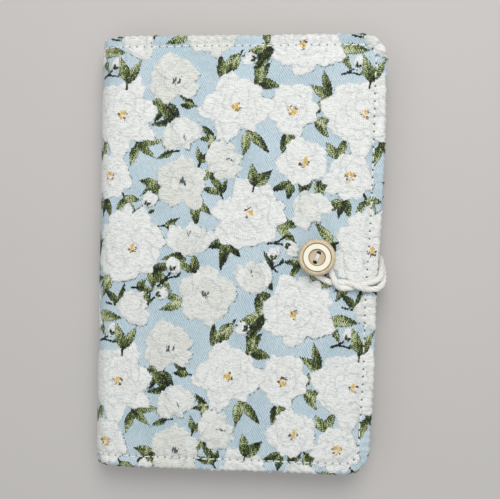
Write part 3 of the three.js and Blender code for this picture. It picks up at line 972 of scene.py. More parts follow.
def floral():
    M = Mat("floral_fabric", 0.75, sheen=0.12, sheen_rough=0.45, spec=0.28)
    uv = M.attr("fab")
    u, v, _ = M.sep(uv)
    white, leaf, gold = M.sep(M.attr("p1"))
    edge, shade, q = M.sep(M.attr("p2"))
    brown, ltone, slate = M.sep(M.attr("p3"))
    tone, out, height = M.sep(M.attr("p4"))
    along, across, plain = M.sep(M.attr("st"))
    # the jagged edges of woven figures: one random step per small cell
    jit = M.math("SUBTRACT", M.cells(uv, (0.95, 0.55)), 0.5)
    jit2 = M.math("SUBTRACT", M.cells(uv, (0.5, 1.1)), 0.5)
    def mask(d, amp, w=0.14, j=jit):
        return M.span(M.math("MULTIPLY_ADD", j, amp, d), -w, w)
    m_white = mask(white, 0.55)
    m_leaf = mask(leaf, 0.5, j=jit2)
    m_gold = mask(gold, 0.7, j=jit2)
    m_brown = mask(brown, 0.7)
    m_slate = mask(slate, 0.6, j=jit2)
    # twill ground
    diag = M.math("MULTIPLY_ADD", v, 0.5, M.math("MULTIPLY", u, 0.87))
    warp = M.math("MULTIPLY_ADD", M.noise(uv, 0.22, 2.0), 0.8, diag)
    twill = M.lines(warp, 1.0)
    slub = M.noise(M.vmath("MULTIPLY", uv, (2.4, 0.35, 1)), 1.0, 3.0)
    yarn = M.cells(uv, (0.36, 0.8))
    cloudy = M.noise(uv, 0.03, 2.0)
    depth = M.span(M.noise(uv, 0.035, 2.0), 0.36, 0.64, 0.24, 0.48)  # the diagonal shows more in some places than in others
    g = M.math("MULTIPLY_ADD", M.math("SUBTRACT", twill, 0.5), depth, M.math("MULTIPLY_ADD", slub, 0.36, M.math("MULTIPLY_ADD", yarn, 0.27, 0.2)))
    ground = M.ramp(g, [(0.1, "#98b0bd"), (0.5, "#c0d1d9"), (0.95, "#dfeaee")])
    ground = M.mix(M.span(cloudy, 0.35, 0.7), ground, M.mix(1.0, ground, "#eef3f4", "MULTIPLY"))
    # satin floats of the white figures
    th = M.lines(M.math("MULTIPLY_ADD", M.noise(uv, 0.5, 2.0), 1.4, q), 0.9)
    fleck = M.cells(uv, (0.5, 0.7))
    row = M.math("FLOOR", M.math("DIVIDE", M.math("MULTIPLY_ADD", u, 0.16, v), 0.44))
    shift = M.math("MULTIPLY", M.random(M.comb(row, 3.0, 1.0)), 7.0)
    float_no = M.math("FLOOR", M.math("DIVIDE", M.math("ADD", u, shift), 1.45))
    brick = M.random(M.comb(float_no, row, 0.5))
    fleece = M.noise(M.vmath("MULTIPLY", uv, (0.9, 2.6, 1)), 1.0, 3.0, 0.6)
    mottle = M.span(M.noise(uv, 0.3, 2.0), 0.3, 0.7)
    w = M.math("MULTIPLY_ADD", th, 0.28, M.math("MULTIPLY_ADD", brick, 0.40, M.math("MULTIPLY", fleece, 0.30)))
    w = M.math("MULTIPLY_ADD", mottle, 0.07, w)
    petal = M.ramp(w, [(0.16, "#b4b8b6"), (0.32, "#d6d8d5"), (0.5, "#e5e6e2"), (0.8, "#f4f4f0")])
    petal = M.mix(M.math("MULTIPLY", M.span(tone, 0.45, 1.0), 0.55), petal, M.mix(1.0, petal, "#e8e8df", "MULTIPLY"))
    dim = M.math("MULTIPLY", M.span(M.math("MULTIPLY_ADD", jit, 0.35, shade), 0.25, 1.0), 0.2)
    petal = M.mix(dim, petal, "#b3c0c4")
    # thin broken line where one petal lies on the next, and darker dots round the lower right of a bloom
    line = M.math("MULTIPLY", M.span(M.math("ABSOLUTE", M.math("SUBTRACT", M.math("MULTIPLY_ADD", jit, 0.3, edge), 0.25)), 0.1, 0.42, 1.0, 0.0), M.span(M.cells(uv, (1.2, 0.9)), 0.45, 0.62))
    petal = M.mix(M.math("MULTIPLY", line, 0.2), petal, "#8f9ca1")
    col = M.mix(m_white, ground, petal)
    rim = M.span(M.math("ABSOLUTE", M.math("ADD", M.math("MULTIPLY_ADD", jit, 0.4, white), 0.18)), 0.16, 0.5, 1.0, 0.0)
    dots = M.span(M.math("ADD", M.cells(uv, (0.95, 0.75)), M.math("MULTIPLY", out, 0.6)), 0.92, 1.04)
    col = M.mix(M.math("MULTIPLY", M.math("MULTIPLY", rim, dots), 0.66), col, "#43525a")
    # leaves: hatched, in several greens
    hatch = M.lines(M.math("MULTIPLY_ADD", M.noise(uv, 0.9, 2.0), 1.1, q), 0.98)
    lt = M.math("ADD", ltone, M.math("MULTIPLY_ADD", hatch, 0.5, M.math("MULTIPLY_ADD", M.cells(uv, (0.56, 1.15)), 0.5, -0.55)))
    green = M.ramp(lt, [(0.06, "#0e150b"), (0.27, "#222e14"), (0.47, "#4d5d2c"), (0.66, "#838f52"), (0.84, "#aeb686"), (1.0, "#d0d4b4")])
    col = M.mix(m_leaf, col, green)
    col = M.mix(m_slate, col, M.mix(fleck, "#35434b", "#5b6a70"))
    col = M.mix(m_brown, col, M.mix(fleck, "#4c3314", "#7d5a26"))
    col = M.mix(m_gold, col, M.mix(fleck, "#c39a3c", "#ecca73"))
    # needle holes between the stitches, painted dark as the shade inside each hole
    ph = M.math("SUBTRACT", M.math("FRACT", M.math("DIVIDE", along, PITCH)), 0.5)
    hole = M.vmath("LENGTH", M.comb(M.math("MULTIPLY", ph, PITCH), across, 0.0), out=1)
    col = M.mix(M.math("MULTIPLY", M.span(hole, 0.3, 0.72, 0.85, 0.0), plain), col, "#39434c")
    M.color(col)
    fig = M.math("MAXIMUM", m_white, m_leaf)
    floats = M.math("MULTIPLY_ADD", th, 0.3, M.math("MULTIPLY_ADD", brick, 0.35, M.math("MULTIPLY", fleece, 0.6)))
    hb = M.t.nodes.new("ShaderNodeMix")
    M.put(hb.inputs[0], m_white)
    M.put(hb.inputs[2], M.math("MULTIPLY_ADD", twill, 0.6, M.math("MULTIPLY", yarn, 0.4)))
    M.put(hb.inputs[3], M.math("ADD", floats, 0.5))
    h = M.math("MULTIPLY_ADD", M.math("MULTIPLY", m_leaf, hatch), 0.5, hb.outputs[0])
    M.bump(h, 0.00016, 0.8)
    M.rough(M.span(fig, 0.0, 1.0, 0.82, 0.58))
    return M.m


def cotton(name, dark, light, pitch=0.55, sheen=0.1):
    """Plain weave."""
    M = Mat(name, 0.85, sheen=sheen, spec=0.2)
    uv = M.attr("fab")
    u, v, _ = M.sep(uv)
    a = M.lines(u, pitch)
    b = M.lines(v, pitch)
    w = M.math("MULTIPLY_ADD", a, 0.3, M.math("MULTIPLY", b, 0.3))
    s1 = M.noise(M.vmath("MULTIPLY", uv, (3.0, 0.25, 1)), 1.0, 2.0)
    s2 = M.noise(M.vmath("MULTIPLY", uv, (0.25, 3.0, 1)), 1.0, 2.0)
    f = M.math("ADD", w, M.math("MULTIPLY_ADD", s1, 0.35, M.math("MULTIPLY", s2, 0.35)))
    # thick and thin yarns both ways
    s3 = M.noise(M.vmath("MULTIPLY", uv, (0.9, 0.04, 1)), 1.0, 3.0)
    s4 = M.noise(M.vmath("MULTIPLY", uv, (0.04, 0.9, 1)), 1.0, 3.0)
    f = M.math("ADD", f, M.math("MULTIPLY_ADD", s3, 1.1, M.math("MULTIPLY_ADD", s4, 1.1, -1.1)))
    M.color(M.mix(M.span(f, 0.3, 1.0, smooth=False), dark, light))
    M.bump(f, 0.0001, 0.6)
    return M.m


def thread_mat(name, dark, light, pitch=0.7):
    M = Mat(name, 0.6, sheen=0.15, spec=0.3)
    s = M.value("along")
    tw = M.lines(s, pitch)
    M.color(M.mix(M.span(tw, 0.0, 0.8), dark, light))
    M.bump(tw, 0.00006, 0.5)
    return M.m


def cord_mat():
    M = Mat("loop_cord", 0.85, sheen=0.3, sheen_rough=0.6, spec=0.15)
    # fine fibres run along the plies; the grooves between the plies are painted a little darker, as shade
    fib = M.noise(M.vmath("MULTIPLY", M.attr("ply"), (0.3, 2.4, 2.4)), 2.6, 4.0, 0.65)
    f = M.math("MULTIPLY_ADD", M.value("yarn"), 0.35, M.math("MULTIPLY", fib, 0.8))
    col = M.mix(M.span(f, 0.3, 0.85), "#dfddd4", "#fbfaf5")
    # painted shade in the grooves between the plies
    col = M.mix(M.span(M.value("groove"), 0.0, 0.34, 0.34, 0.0), col, "#b9b3a5")
    M.color(col)
    M.bump(f, 0.00018, 0.8)
    return M.m


def wood():
    M = Mat("button_wood", 0.5, spec=0.35)
    p = M.vmath("SUBTRACT", M.vmath("SCALE", M.local(), 1000.0), (BUTTON[0] + SHIFT, BUTTON[1], BUTTON_Z))
    x, y, z = M.sep(p)
    r = M.vmath("LENGTH", M.comb(x, y, 0.0), out=1)
    # growth rings cross the button at a slant
    gx = M.math("MULTIPLY_ADD", x, 0.87, M.math("MULTIPLY", y, 0.5))
    gy = M.math("MULTIPLY_ADD", y, 0.87, M.math("MULTIPLY", x, -0.5))
    gp = M.comb(gx, M.math("MULTIPLY", gy, 0.12), M.math("MULTIPLY", z, 0.4))
    grain = M.noise(gp, 1.1, 4.0, 0.6)
    fine = M.noise(M.comb(M.math("MULTIPLY", gx, 4.0), M.math("MULTIPLY", gy, 0.35), z), 1.6, 3.0)
    blot = M.noise(p, 0.35, 2.0)
    g = M.math("MULTIPLY_ADD", grain, 0.65, M.math("MULTIPLY", fine, 0.4))
    tan = M.ramp(g, [(0.25, "#b8a17d"), (0.5, "#d6c5a5"), (0.75, "#ece2cd")])
    tan = M.mix(M.span(blot, 0.5, 0.72, 0.0, 0.45), tan, "#b0936a")
    cream = M.ramp(g, [(0.25, "#ebe0bf"), (0.5, "#f8f2dc"), (0.8, "#fdf9ea")])
    centre = M.ramp(g, [(0.25, "#ae9e7f"), (0.55, "#cdbda0"), (0.8, "#e0d3b8")])
    ring = M.math("MULTIPLY", M.span(r, 4.02, 4.18), M.span(r, 6.5, 6.66, 1.0, 0.0))
    col = M.mix(M.span(r, 3.9, 4.05), centre, tan)
    top = M.span(z, 3.6, 3.9)
    col = M.mix(M.math("MULTIPLY", ring, top), col, cream)
    # painted shade: darker lines in the groove round the rim and at the step down to the centre, on the top only
    groove_shade = M.span(M.math("ABSOLUTE", M.math("SUBTRACT", r, 6.74)), 0.1, 0.42, 0.85, 0.0)
    step_shade = M.span(M.math("ABSOLUTE", M.math("SUBTRACT", r, 3.93)), 0.08, 0.34, 0.8, 0.0)
    painted_groove_shade = M.math("MULTIPLY", M.math("MAXIMUM", groove_shade, step_shade), M.span(z, 2.6, 3.2))
    col = M.mix(painted_groove_shade, col, "#9a7c50")
    M.color(col)
    M.bump(g, 0.00012, 0.5)
    M.rough(M.span(g, 0.3, 0.8, 0.6, 0.45))
    return M.m


FLORAL = floral()
LINING = cotton("lining_cotton", "#cfc4ae", "#efe8d8")
PAGE = cotton("page_cotton", "#d8d2c2", "#f4f0e4")
POCKET = cotton("pocket_cotton", "#a9c2cf", "#d0e0e7", 0.6)
TAPE = cotton("binding_tape", "#6f8059", "#97a67d", 0.5)
THREAD = thread_mat("thread", "#dcdcd8", "#fbfbf8")
CORD = cord_mat()
WOOD = wood()


# ---------------------------------------------------------------- covers
def mm(x, y, z):
    return tuple(to_m(np.array([x, y, z], float)))


FRONT_BEND = dict(start=mm(-HW, 0, THICK - SPINE_R), end=mm(SPINE_X, 0, THICK))
BACK_BEND = dict(start=mm(SPINE_X, 0, 0), end=mm(-HW, 0, SPINE_R))

cloth = {}
for front in (True, False):
    side = "front" if front else "back"
    o = outer_fabric(front, FLORAL)
    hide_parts(side + "_cover_fabric", side + "_foam_panel", *(["spine_fabric"] if front else []))
    li = lining_sheet(front, LINING)
    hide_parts(side + "_lining", *(["spine_lining"] if front else []))
    ts = topstitch(front, THREAD)
    cloth[side] = (o, li, ts)


# ---------------------------------------------------------------- pockets and leaves
def round_grid(x0, x1, y0, y1, step, r=0.0):
    xs = np.linspace(x0, x1, int(round((x1 - x0) / step)) + 1)
    ys = np.linspace(y0, y1, int(round((y1 - y0) / step)) + 1)
    X, Y = np.meshgrid(xs, ys, indexing="ij")
    if r > 0:
        yc, hy = (y0 + y1) / 2, (y1 - y0) / 2
        a, b = (X - (x1 - r)) / r, (np.abs(Y - yc) - (hy - r)) / r
        m = (a > 0) & (b > 0)
        X2 = x1 - r + r * a * np.sqrt(np.clip(1 - b * b / 2, 0, 1))
        Y2 = yc + np.sign(Y - yc) * (hy - r + r * b * np.sqrt(np.clip(1 - a * a / 2, 0, 1)))
        X, Y = np.where(m, X2, X), np.where(m, Y2, Y)
    return X, Y


def slab(name, X, Y, low, high, mat, round_edge=0.12):
    """A thin closed cloth between two height fields on the same grid, its edges rounded a little."""
    nu, nv = X.shape
    x, y = X.ravel(), Y.ravel()
    idx = np.arange(nu * nv).reshape(nu, nv)
    ring = np.r_[idx[:, 0], idx[-1, 1:], idx[-2::-1, -1], idx[0, -2:0:-1]]
    top = np.stack([x, y, high], 1)
    bot = np.stack([x, y, low], 1)
    ring_c = np.r_[ring, ring[:1]]
    c = np.array([(X.min() + X.max()) / 2, (Y.min() + Y.max()) / 2])
    t = np.gradient(np.stack([x[ring_c], y[ring_c]], 1), axis=0)
    nrm = np.stack([-t[:, 1], t[:, 0]], 1)
    nrm /= np.maximum(np.linalg.norm(nrm, axis=1)[:, None], 1e-9)
    away = np.sum(nrm * (np.stack([x[ring_c], y[ring_c]], 1) - c), 1) < 0
    nrm[away] *= -1
    mid = (top[ring] + bot[ring]) / 2
    mid[:, :2] += nrm[:-1] * round_edge
    n = nu * nv
    v = np.concatenate([top, bot, mid])
    m_idx = np.arange(2 * n, 2 * n + len(ring))
    m_c = np.r_[m_idx, m_idx[:1]]
    f = [grid_faces(nu, nv), grid_faces(nu, nv, True, n), strip_faces(ring_c, [m_c, ring_c + n], True)]
    fab = np.stack([x, y, 0 * x], 1)
    ob = make_mesh(name, v, np.concatenate(f), mat, {"fab": np.concatenate([fab, fab, fab[ring]])})
    bm = bmesh.new()
    bm.from_mesh(ob.data)
    bmesh.ops.recalc_face_normals(bm, faces=bm.faces)
    bm.to_mesh(ob.data)
    bm.free()
    return ob


def dashes(B, pts, r=0.3, pitch=3.2, up=(0, 0, 1), sink=0.25):
    """Running stitches along a polyline given by a dense path on the cloth's surface."""
    up = np.array(up, float)
    d = np.r_[0, np.cumsum(np.linalg.norm(np.diff(pts, axis=0), axis=1))]
    n = max(1, int(round(d[-1] / pitch)))
    p = d[-1] / n
    t = np.linspace(0, 1, 6)
    for i in range(n):
        s = (i + 0.11 + 0.78 * t) * p
        q = np.stack([np.interp(s, d, pts[:, k]) for k in range(3)], 1)
        arch = 1 - (2 * t - 1) ** 4
        q = q + up * (0.55 * r + (sink + r) * (arch - 1))[:, None]
        v, f = tube(q, r * np.sqrt(np.clip(1 - (2 * t - 1) ** 6, 0.08, 1)), 5)
        B.add(v, f, along=np.repeat(s, 5))


POCKET_X0, POCKET_X1, POCKET_Y0, MOUTH = -61.7, 63.9, -102.4, 58.0


def leaf_wave(x, y, k):
    """The leaves lie together with one slow wave; towards the spine it fades and they draw together."""
    t = np.clip((x + 66) / 130, 0, 1)
    draw = -0.67 * (2.4 * k - 6.0) * (1 - sm(x, -72.0, -46.0)) ** 1.8
    return draw + 0.22 * t * np.sin(x / 31 + y / 57 + 0.7) + 0.16 * t * np.sin(y / 23 - x / 70 + 2)


for k, zc in enumerate((6.4, 8.8, 11.2, 13.6), 1):
    body = "leaf_%d" % k
    X, Y = round_grid(-69.3, 64.5, -103, 103, 3.0, 8)
    x, y = X.ravel(), Y.ravel()
    w = leaf_wave(x, y, k)
    page = slab(body + "_page_cloth", X, Y, zc - 0.28 + w, zc + 0.28 + w, PAGE)
    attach(page, body)
    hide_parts(body + "_page")
    B = Build()
    for sgn, word in ((-1, "rear"), (1, "front")):
        X, Y = round_grid(POCKET_X0, POCKET_X1, POCKET_Y0, MOUTH + 4.0, 2.6, 7.5)
        # only the lower fore-edge corner is rounded: the mouth runs straight across
        Xs, Ys = round_grid(POCKET_X0, POCKET_X1, POCKET_Y0, MOUTH + 4.0, 2.6)
        up = Y > 0
        X, Y = np.where(up, Xs, X), np.where(up, Ys, Y)
        x, y = X.ravel(), Y.ravel()
        w = leaf_wave(x, y, k)
        inner = zc + sgn * 0.34 + w
        e = np.minimum(np.minimum(x - POCKET_X0, POCKET_X1 - x), y - POCKET_Y0)
        bulge = 0.16 * sm(e, 3, 30) * (0.6 + 0.4 * np.sin(x / 19 + 1.3 * k) * np.sin(y / 27 + k)) - 0.1 * np.exp(-(((e - 3) / 1.2) ** 2))
        outer = zc + sgn * (0.72 + bulge) + w
        lo, hi = (inner, outer) if sgn > 0 else (outer, inner)
        po = slab("%s_pocket_%s_cloth" % (body, word), X, Y, lo, hi, POCKET, 0.06)
        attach(po, body)
        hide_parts("%s_pocket_%s" % (body, word))
        # tape folded over the pocket's mouth
        X, Y = round_grid(POCKET_X0 - 0.1, POCKET_X1 + 0.1, MOUTH + 0.1, MOUTH + 8.1, 2.0)
        x, y = X.ravel(), Y.ravel()
        w = leaf_wave(x, y, k)
        ty = (y - MOUTH - 4.1) / 4.0
        fold = 0.20 * np.sqrt(np.clip(1 - ty**6, 0, 1))
        inner = zc + sgn * 0.36 + w
        outer = zc + sgn * (0.78 + fold + 0.03 * np.sin(x / 3.1 + k)) + w
        lo, hi = (inner, outer) if sgn > 0 else (outer, inner)
        ta = slab("%s_tape_%s" % (body, word), X, Y, lo, hi, TAPE, 0.12)
        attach(ta, body)
        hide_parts("%s_binding_%s" % (body, word))
        # stitches: along the tape and round the pocket
        xs = np.linspace(POCKET_X0 + 2, POCKET_X1 - 2, 160)
        yy = np.full_like(xs, MOUTH + 1.6)
        zz = zc + sgn * 0.97 + leaf_wave(xs, yy, k)
        dashes(B, np.stack([xs, yy, zz], 1), 0.22, 3.2, (0, 0, sgn), 0.1)
        a = np.linspace(0, math.pi / 2, 20)
        rr, m = 5.0, 2.6
        px = np.r_[np.full(60, POCKET_X0 + m), np.linspace(POCKET_X0 + m, POCKET_X1 - m - rr, 60), POCKET_X1 - m - rr + rr * np.sin(a), np.full(60, POCKET_X1 - m)]
        py = np.r_[np.linspace(MOUTH - 1, POCKET_Y0 + m, 60), np.full(60, POCKET_Y0 + m), POCKET_Y0 + m + rr - rr * np.cos(a), np.linspace(POCKET_Y0 + m + rr, MOUTH - 1, 60)]
        pz = zc + sgn * 0.64 + leaf_wave(px, py, k)
        dashes(B, np.stack([px, py, pz], 1), 0.22, 3.2, (0, 0, sgn), 0.1)
    st = B.make(body + "_stitches", THREAD)
    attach(st, body)

for front in (True, False):
    side, sgn = ("front", -1) if front else ("back", 1)
    flip = lambda z: THICK - z if front else z
    def seat(x, y):
        u = x - SPINE_X + U0
        e, _, _, _ = edge_coords(u, y)
        return THICK - base(u)[1] + lining_depth(u, e) + 0.1 * wob(u, y, 21, 40.0) * sm(e, 5, 14) + (droop(x) if front else 0.0)
    def outlined(x, y):
        """The same points moved with the cover's outline."""
        q = soften(np.stack([np.ravel(x), np.ravel(y), 0 * np.ravel(x)], 1), front)
        return q[:, 0].reshape(np.shape(x)), q[:, 1].reshape(np.shape(x))
    X, Y = round_grid(-60, 66, -103, 62, 2.6, 7.5)
    Xs, Ys = round_grid(-60, 66, -103, 62, 2.6)
    up = Y > 0
    X, Y = np.where(up, Xs, X), np.where(up, Ys, Y)
    x, y = X.ravel(), Y.ravel()
    e = np.minimum(np.minimum(x + 60, 66 - x), y + 103)
    base_z = seat(x, y) + 0.02
    thick = 0.42 + 0.14 * sm(e, 3, 30) - 0.1 * np.exp(-(((e - 2.6) / 1.2) ** 2))
    a, b = flip(base_z), flip(base_z + thick)
    po = slab(side + "_inside_pocket_cloth", *outlined(X, Y), np.minimum(a, b), np.maximum(a, b), POCKET, 0.06)
    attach(po, side + "_cover")
    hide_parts(side + "_inside_pocket")
    X, Y = round_grid(-60.1, 66.1, 58.1, 66.1, 2.0)
    x, y = X.ravel(), Y.ravel()
    ty = (y - 62.1) / 4.0
    base_z = seat(x, y) + 0.04
    thick = 0.44 + 0.2 * np.sqrt(np.clip(1 - ty**6, 0, 1)) + 0.03 * np.sin(x / 3.1)
    a, b = flip(base_z), flip(base_z + thick)
    ta = slab(side + "_inside_tape", *outlined(X, Y), np.minimum(a, b), np.maximum(a, b), TAPE, 0.12)
    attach(ta, side + "_cover")
    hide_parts(side + "_pocket_binding")
    B = Build()
    xs = np.linspace(-58, 64, 160)
    ys = np.full_like(xs, 59.7)
    dashes(B, np.stack([*outlined(xs, ys), flip(seat(xs, ys) + 0.64)], 1), 0.22, 3.2, (0, 0, sgn), 0.1)
    a = np.linspace(0, math.pi / 2, 20)
    rr, m = 5.0, 2.6
    px = np.r_[np.full(60, -60 + m), np.linspace(-60 + m, 66 - m - rr, 60), 66 - m - rr + rr * np.sin(a), np.full(60, 66 - m)]
    py = np.r_[np.linspace(57, -103 + m, 60), np.full(60, -103 + m), -103 + m + rr - rr * np.cos(a), np.linspace(-103 + m + rr, 57, 60)]
    dashes(B, np.stack([*outlined(px, py), flip(seat(px, py) + 0.36)], 1), 0.22, 3.2, (0, 0, sgn), 0.1)
    st = B.make(side + "_inside_stitches", THREAD)
    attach(st, side + "_cover")


# ---------------------------------------------------------------- button
def lathe(profile, seg, centre, z0):
    ang = np.linspace(0, 2 * math.pi, seg, endpoint=False)
    v, f, rows = [], [], []
    for r, z in profile:
        if r < 1e-6:
            rows.append([len(v)])
            v.append([centre[0], centre[1], z0 + z])
        else:
            rows.append(list(range(len(v), len(v) + seg)))
            v += [[centre[0] + r * math.cos(a), centre[1] + r * math.sin(a), z0 + z] for a in ang]
    for p, q in zip(rows[:-1], rows[1:]):
        for j in range(seg):
            j2 = (j + 1) % seg
            if len(p) == 1:
                f.append([p[0], q[j2], q[j]])
            elif len(q) == 1:
                f.append([p[j], p[j2], q[0]])
            else:
                f.append([p[j], p[j2], q[j2], q[j]])
    return np.array(v), f


def smooth_profile(keys, n=3):
    """Rounds a lathe profile: each stretch is divided and its corners cut twice."""
    p = np.array(keys, float)
    for _ in range(n):
        q = [p[0]]
        for a, b in zip(p[:-1], p[1:]):
            q += [0.75 * a + 0.25 * b, 0.25 * a + 0.75 * b]
        q.append(p[-1])
        p = np.array(q)
    return p


PROFILE = [(0, 0), (6.6, 0.0), (8.1, 0.3), (8.85, 1.2), (9.0, 2.2), (8.85, 3.2), (8.3, 4.05), (7.5, 4.42), (7.02, 4.4), (6.9, 4.25), (6.75, 3.85), (6.6, 4.22), (6.5, 4.33), (6.3, 4.34), (4.3, 4.34), (4.1, 4.3), (3.97, 4.05), (3.9, 3.5), (3.75, 3.32), (3.3, 3.26), (1.6, 3.14), (0, 3.1)]
prof = smooth_profile(PROFILE, 2)
prof[0], prof[-1] = (0, 0), (0, 3.1)
bv, bf = lathe(prof, 120, BUTTON, BUTTON_Z)
button = make_mesh("button_turned", bv, bf, WOOD)
axis = np.array([math.sin(math.radians(22)), math.cos(math.radians(22))])
HOLES = [BUTTON + axis * 2.3, BUTTON - axis * 2.3]
cutters = []
for h in HOLES:
    cv, cf = lathe([(0, -2), (1.05, -2), (1.05, 3.0), (1.3, 3.6), (1.3, 6), (0, 6)], 40, h, BUTTON_Z)
    cutters.append(make_mesh("cut", cv, cf, WOOD))
for c in cutters:
    md = button.modifiers.new("hole", "BOOLEAN")
    md.operation, md.object, md.solver = "DIFFERENCE", c, "EXACT"
bpy.context.view_layer.update()
dg = bpy.context.evaluated_depsgraph_get()
done = bpy.data.meshes.new_from_object(button.evaluated_get(dg))
button.modifiers.clear()
button.data = done
for c in cutters:
    bpy.data.objects.remove(c, do_unlink=True)
bm = bmesh.new()
bm.from_mesh(button.data)
for e in bm.edges:
    e.smooth = len(e.link_faces) == 2 and e.calc_face_angle(0.0) < math.radians(40)
for f in bm.faces:
    f.smooth = True
bm.to_mesh(button.data)
bm.free()
button.data.materials.clear()
button.data.materials.append(WOOD)
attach(button, "button")
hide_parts("wooden_button")

# thread: strands from hole to hole, close to the inner side of each hole
B = Build()
side_dir = np.array([axis[1], -axis[0]])
for off, lift, cross in ((-0.4, 0.0, 0.1), (0.42, 0.02, -0.1), (0.02, 0.28, 0.35)):
    a, b = HOLES[0] - axis * 0.68 + side_dir * off, HOLES[1] + axis * 0.68 + side_dir * (off - cross)
    ctl = [[a[0], a[1], BUTTON_Z + z] for z in (0.4, 1.6, 2.7)]
    for t in (0.1, 0.28, 0.5, 0.72, 0.9):
        p = a * (1 - t) + b * t
        ctl.append([p[0], p[1], BUTTON_Z + 3.38 + lift + 0.14 * math.sin(math.pi * t)])
    ctl += [[b[0], b[1], BUTTON_Z + z] for z in (2.7, 1.6, 0.4)]
    path = resample(catmull(ctl, 8), 0.25)
    tv, tf = tube(path, 0.33, 10)
    B.add(tv, tf, along=np.repeat(np.arange(len(path)) * 0.25, 10))
bt = B.make("button_thread", THREAD)
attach(bt, "button")
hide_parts("button_stitch_thread")

# shank: thread wound round the strands under the button
B = Build()
t = np.linspace(0, 1, 260)
turns = 5.2
a = t * turns * 2 * math.pi
rad = 1.15 + 0.25 * np.cos(t * math.pi * 2) ** 2
path = np.stack([BUTTON[0] + rad * np.cos(a), BUTTON[1] + rad * np.sin(a), 19.6 + 3.55 * t], 1)
tv, tf = tube(path, 0.36, 8)
B.add(tv, tf, along=np.repeat(np.arange(len(path)) * 0.12, 8))
core = np.array([[BUTTON[0], BUTTON[1], z] for z in np.linspace(19.2, BUTTON_Z - 0.05, 6)])
tv, tf = tube(core, 1.1, 16)
B.add(tv, tf, along=np.repeat(np.arange(6) * 0.7, 16))
sh = B.make("button_shank_thread", THREAD)
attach(sh, "front_cover")
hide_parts("button_thread_shank")


# ---------------------------------------------------------------- loop
CORD_R = 1.5


def front_z(x, y):
    """Height of the front cover's fabric, woven relief included, over a point of the flat cover."""
    x, y = np.atleast_1d(np.asarray(x, float)), np.atleast_1d(np.asarray(y, float))
    u = x - SPINE_X + U0
    e, s, _, _ = edge_coords(u, y)
    relief, _ = woven_attrs(u, y, s, e)
    return THICK + puff(u, y, e, s, True) + relief - droop(x)


def edge_x(y):
    y = np.atleast_1d(np.asarray(y, float))
    return soften(np.stack([np.full_like(y, HW), y, 0 * y], 1), True)[:, 0]


def on_cover(points):
    """Cord centres (x, y, extra height) laid on the fabric."""
    q = np.array(points, float)
    ring = np.array([(0, 0), (0.7, 0), (-0.7, 0), (0, 0.7), (0, -0.7)])
    xy = (q[:, None, :2] + ring[None]).reshape(-1, 2)
    z = front_z(xy[:, 0], xy[:, 1]).reshape(-1, len(ring)).max(1)
    return np.c_[q[:, :2], z + CORD_R - 0.12 + q[:, 2]].tolist()


# One strand rises from the back cover's seam, crosses under the other, turns over it once more by the button,
# goes round the shank, and the second strand runs back in the same way.
route = [[66.8, -1.0, 2.4], [69.6, -1.0, 2.4], [71.4, -1.3, 3.3], [72.0, -2.2, 5.8], [71.9, -4.2, 10.0], [71.5, -6.6, 14.4], [71.2, -9.0, 18.0], [70.2, -11.2, 20.2], [68.0, -12.8, 21.2]]
route += on_cover(
    [
        (64.7, -13.9, 0), (61.8, -14.7, 0), (59.2, -15.4, -0.15), (56.4, -16.3, 0), (53.6, -16.7, 0), (51.2, -16.5, 0.5), (49.5, -15.2, 1.6), (48.3, -12.9, 2.0), (47.2, -10.3, 0.9), (46.2, -7.6, 0.1),
        (45.1, -4.6, 0), (44.2, -1.8, 0), (42.9, 0.9, 0), (39.5, 2.2, 0), (36.6, 0.5, 0), (35.8, -3.2, 0), (37.0, -7.0, 0), (39.5, -10.0, 0), (43.0, -12.4, 0),
        (46.8, -14.0, -0.1), (50.7, -13.8, 0), (54.5, -14.0, 0.5), (57.0, -14.7, 1.5), (59.3, -15.6, 2.1), (62.8, -16.9, 0.7), (66.2, -17.0, 0),
    ]
)
route += [[69.2, -16.5, 21.0], [71.2, -15.0, 19.5], [72.3, -12.5, 17.0], [72.7, -9.7, 13.0], [72.8, -7.1, 9.0], [72.6, -5.8, 5.6], [71.6, -5.4, 3.3], [69.6, -5.4, 2.4], [66.8, -5.4, 2.4]]
STEP, SIDES = 0.26, 56
line = resample(catmull(route, 14), STEP)
PLIES, LAY, YARNS = 3, 10.5, 3


def twist(k, ang):
    """Angle about the cord with the twist taken out, and the yarns' own angle within a ply."""
    sk = np.asarray(k)[:, None] * STEP
    tw = ang[None, :] - 2 * math.pi * sk / LAY
    return tw, YARNS * PLIES / 2 * tw + 2 * math.pi * sk / 3.1, sk


def ply_shape(k, ang):
    tw, yarn, sk = twist(k, ang)
    c = np.abs(np.cos(PLIES / 2 * tw))
    soft = 0.03 * wob(sk + 2 * np.cos(ang)[None, :], 2 * np.sin(ang)[None, :] + 0 * sk, 41, 5.0) + 0.02 * np.sin(sk * 2.1 + 1.7 * np.sin(sk * 0.61))
    return 0.855 + 0.15 * c**0.75 + 0.012 * np.abs(np.cos(yarn)) + soft


cv, cf = tube(line, CORD_R, SIDES, ply_shape)
ang = np.linspace(0, 2 * math.pi, SIDES, endpoint=False)
tw, yarn, sk = twist(np.arange(len(line)), ang)
lie = {"ply": np.stack([(sk + 0 * tw).ravel(), np.cos(tw).ravel(), np.sin(tw).ravel()], 1), "yarn": np.abs(np.cos(yarn)).ravel(), "groove": np.abs(np.cos(PLIES / 2 * tw)).ravel()}
loop_ob = make_mesh("loop_cord_twisted", cv, cf, CORD, lie)
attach(loop_ob, "cord_loop")
mm(71.0, 0, 2.4)
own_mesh(loop_ob)
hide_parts("cord_loop")
tuple(to_m(line[0]))
to_m(line).tolist()

for side, (o, li, ts) in cloth.items():
    for ob in (o, li, ts):
        if side == "front":
            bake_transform(ob)
        else:
            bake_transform(ob)


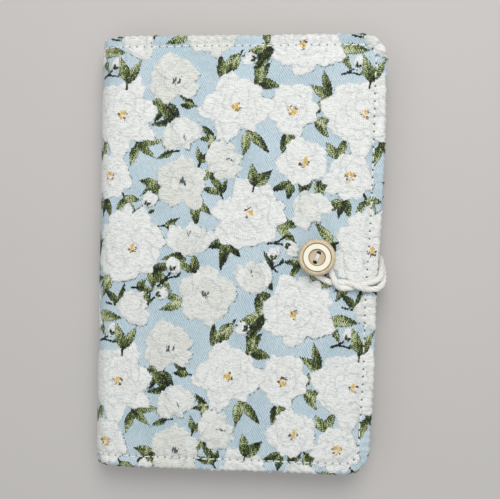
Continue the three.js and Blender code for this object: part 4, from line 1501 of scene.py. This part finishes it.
# ---------------------------------------------------------------- stage
bpy.ops.mesh.primitive_plane_add(size=6.0, location=(0, 0, -0.0002))
floor = bpy.context.object
floor.name = "floor"
FM = Mat("floor", 0.9, spec=0.2)
FM.color("#c6c2bf")
floor.data.materials.append(FM.m)


def area(name, loc, target, size, power, color):
    d = bpy.data.lights.new(name, "AREA")
    d.shape, d.size, d.energy, d.color = "DISK", size, power, color
    o = bpy.data.objects.new(name, d)
    o.location = loc
    o.rotation_euler = (Vector(target) - Vector(loc)).to_track_quat("-Z", "Y").to_euler()
    bpy.context.scene.collection.objects.link(o)
    return o


area("key", (0.12, 0.45, 0.65), (0, 0.02, 0), 0.5, 2.8, (1.0, 0.992, 0.975))
world = bpy.context.scene.world or bpy.data.worlds.new("world")
bpy.context.scene.world = world
world.use_nodes = True
bg = world.node_tree.nodes.get("Background") or world.node_tree.nodes.new("ShaderNodeBackground")
nt = world.node_tree
tc = nt.nodes.new("ShaderNodeTexCoord")
sx = nt.nodes.new("ShaderNodeSeparateXYZ")
nt.links.new(tc.outputs["Generated"], sx.inputs[0])
mr = nt.nodes.new("ShaderNodeMapRange")
mr.interpolation_type = "SMOOTHSTEP"
for i, val in ((1, 0.2), (2, 0.98), (3, 0.05), (4, 1.05)):
    mr.inputs[i].default_value = val
nt.links.new(sx.outputs[2], mr.inputs[0])
bg.inputs[0].default_value = (0.96, 0.98, 1.0, 1.0)
nt.links.new(mr.outputs[0], bg.inputs[1])

cam_d = bpy.data.cameras.new("camera")
cam = bpy.data.objects.new("camera", cam_d)
cam_d.sensor_fit, cam_d.sensor_width, cam_d.lens = "HORIZONTAL", 36.0, 48.1975
cam_d.clip_start = 0.01
R = Matrix(((0.996672, -0.013837, 0.08033), (0.014591, 0.999855, -0.008811), (-0.080196, 0.009954, 0.996729)))
cam.matrix_world = Matrix.Translation(Vector((0.031812, -0.001489, 0.348555))) @ R.to_4x4()
bpy.context.scene.collection.objects.link(cam)
bpy.context.scene.camera = cam
bpy.context.scene.view_settings.view_transform = "Standard"

bpy.context.view_layer.update()
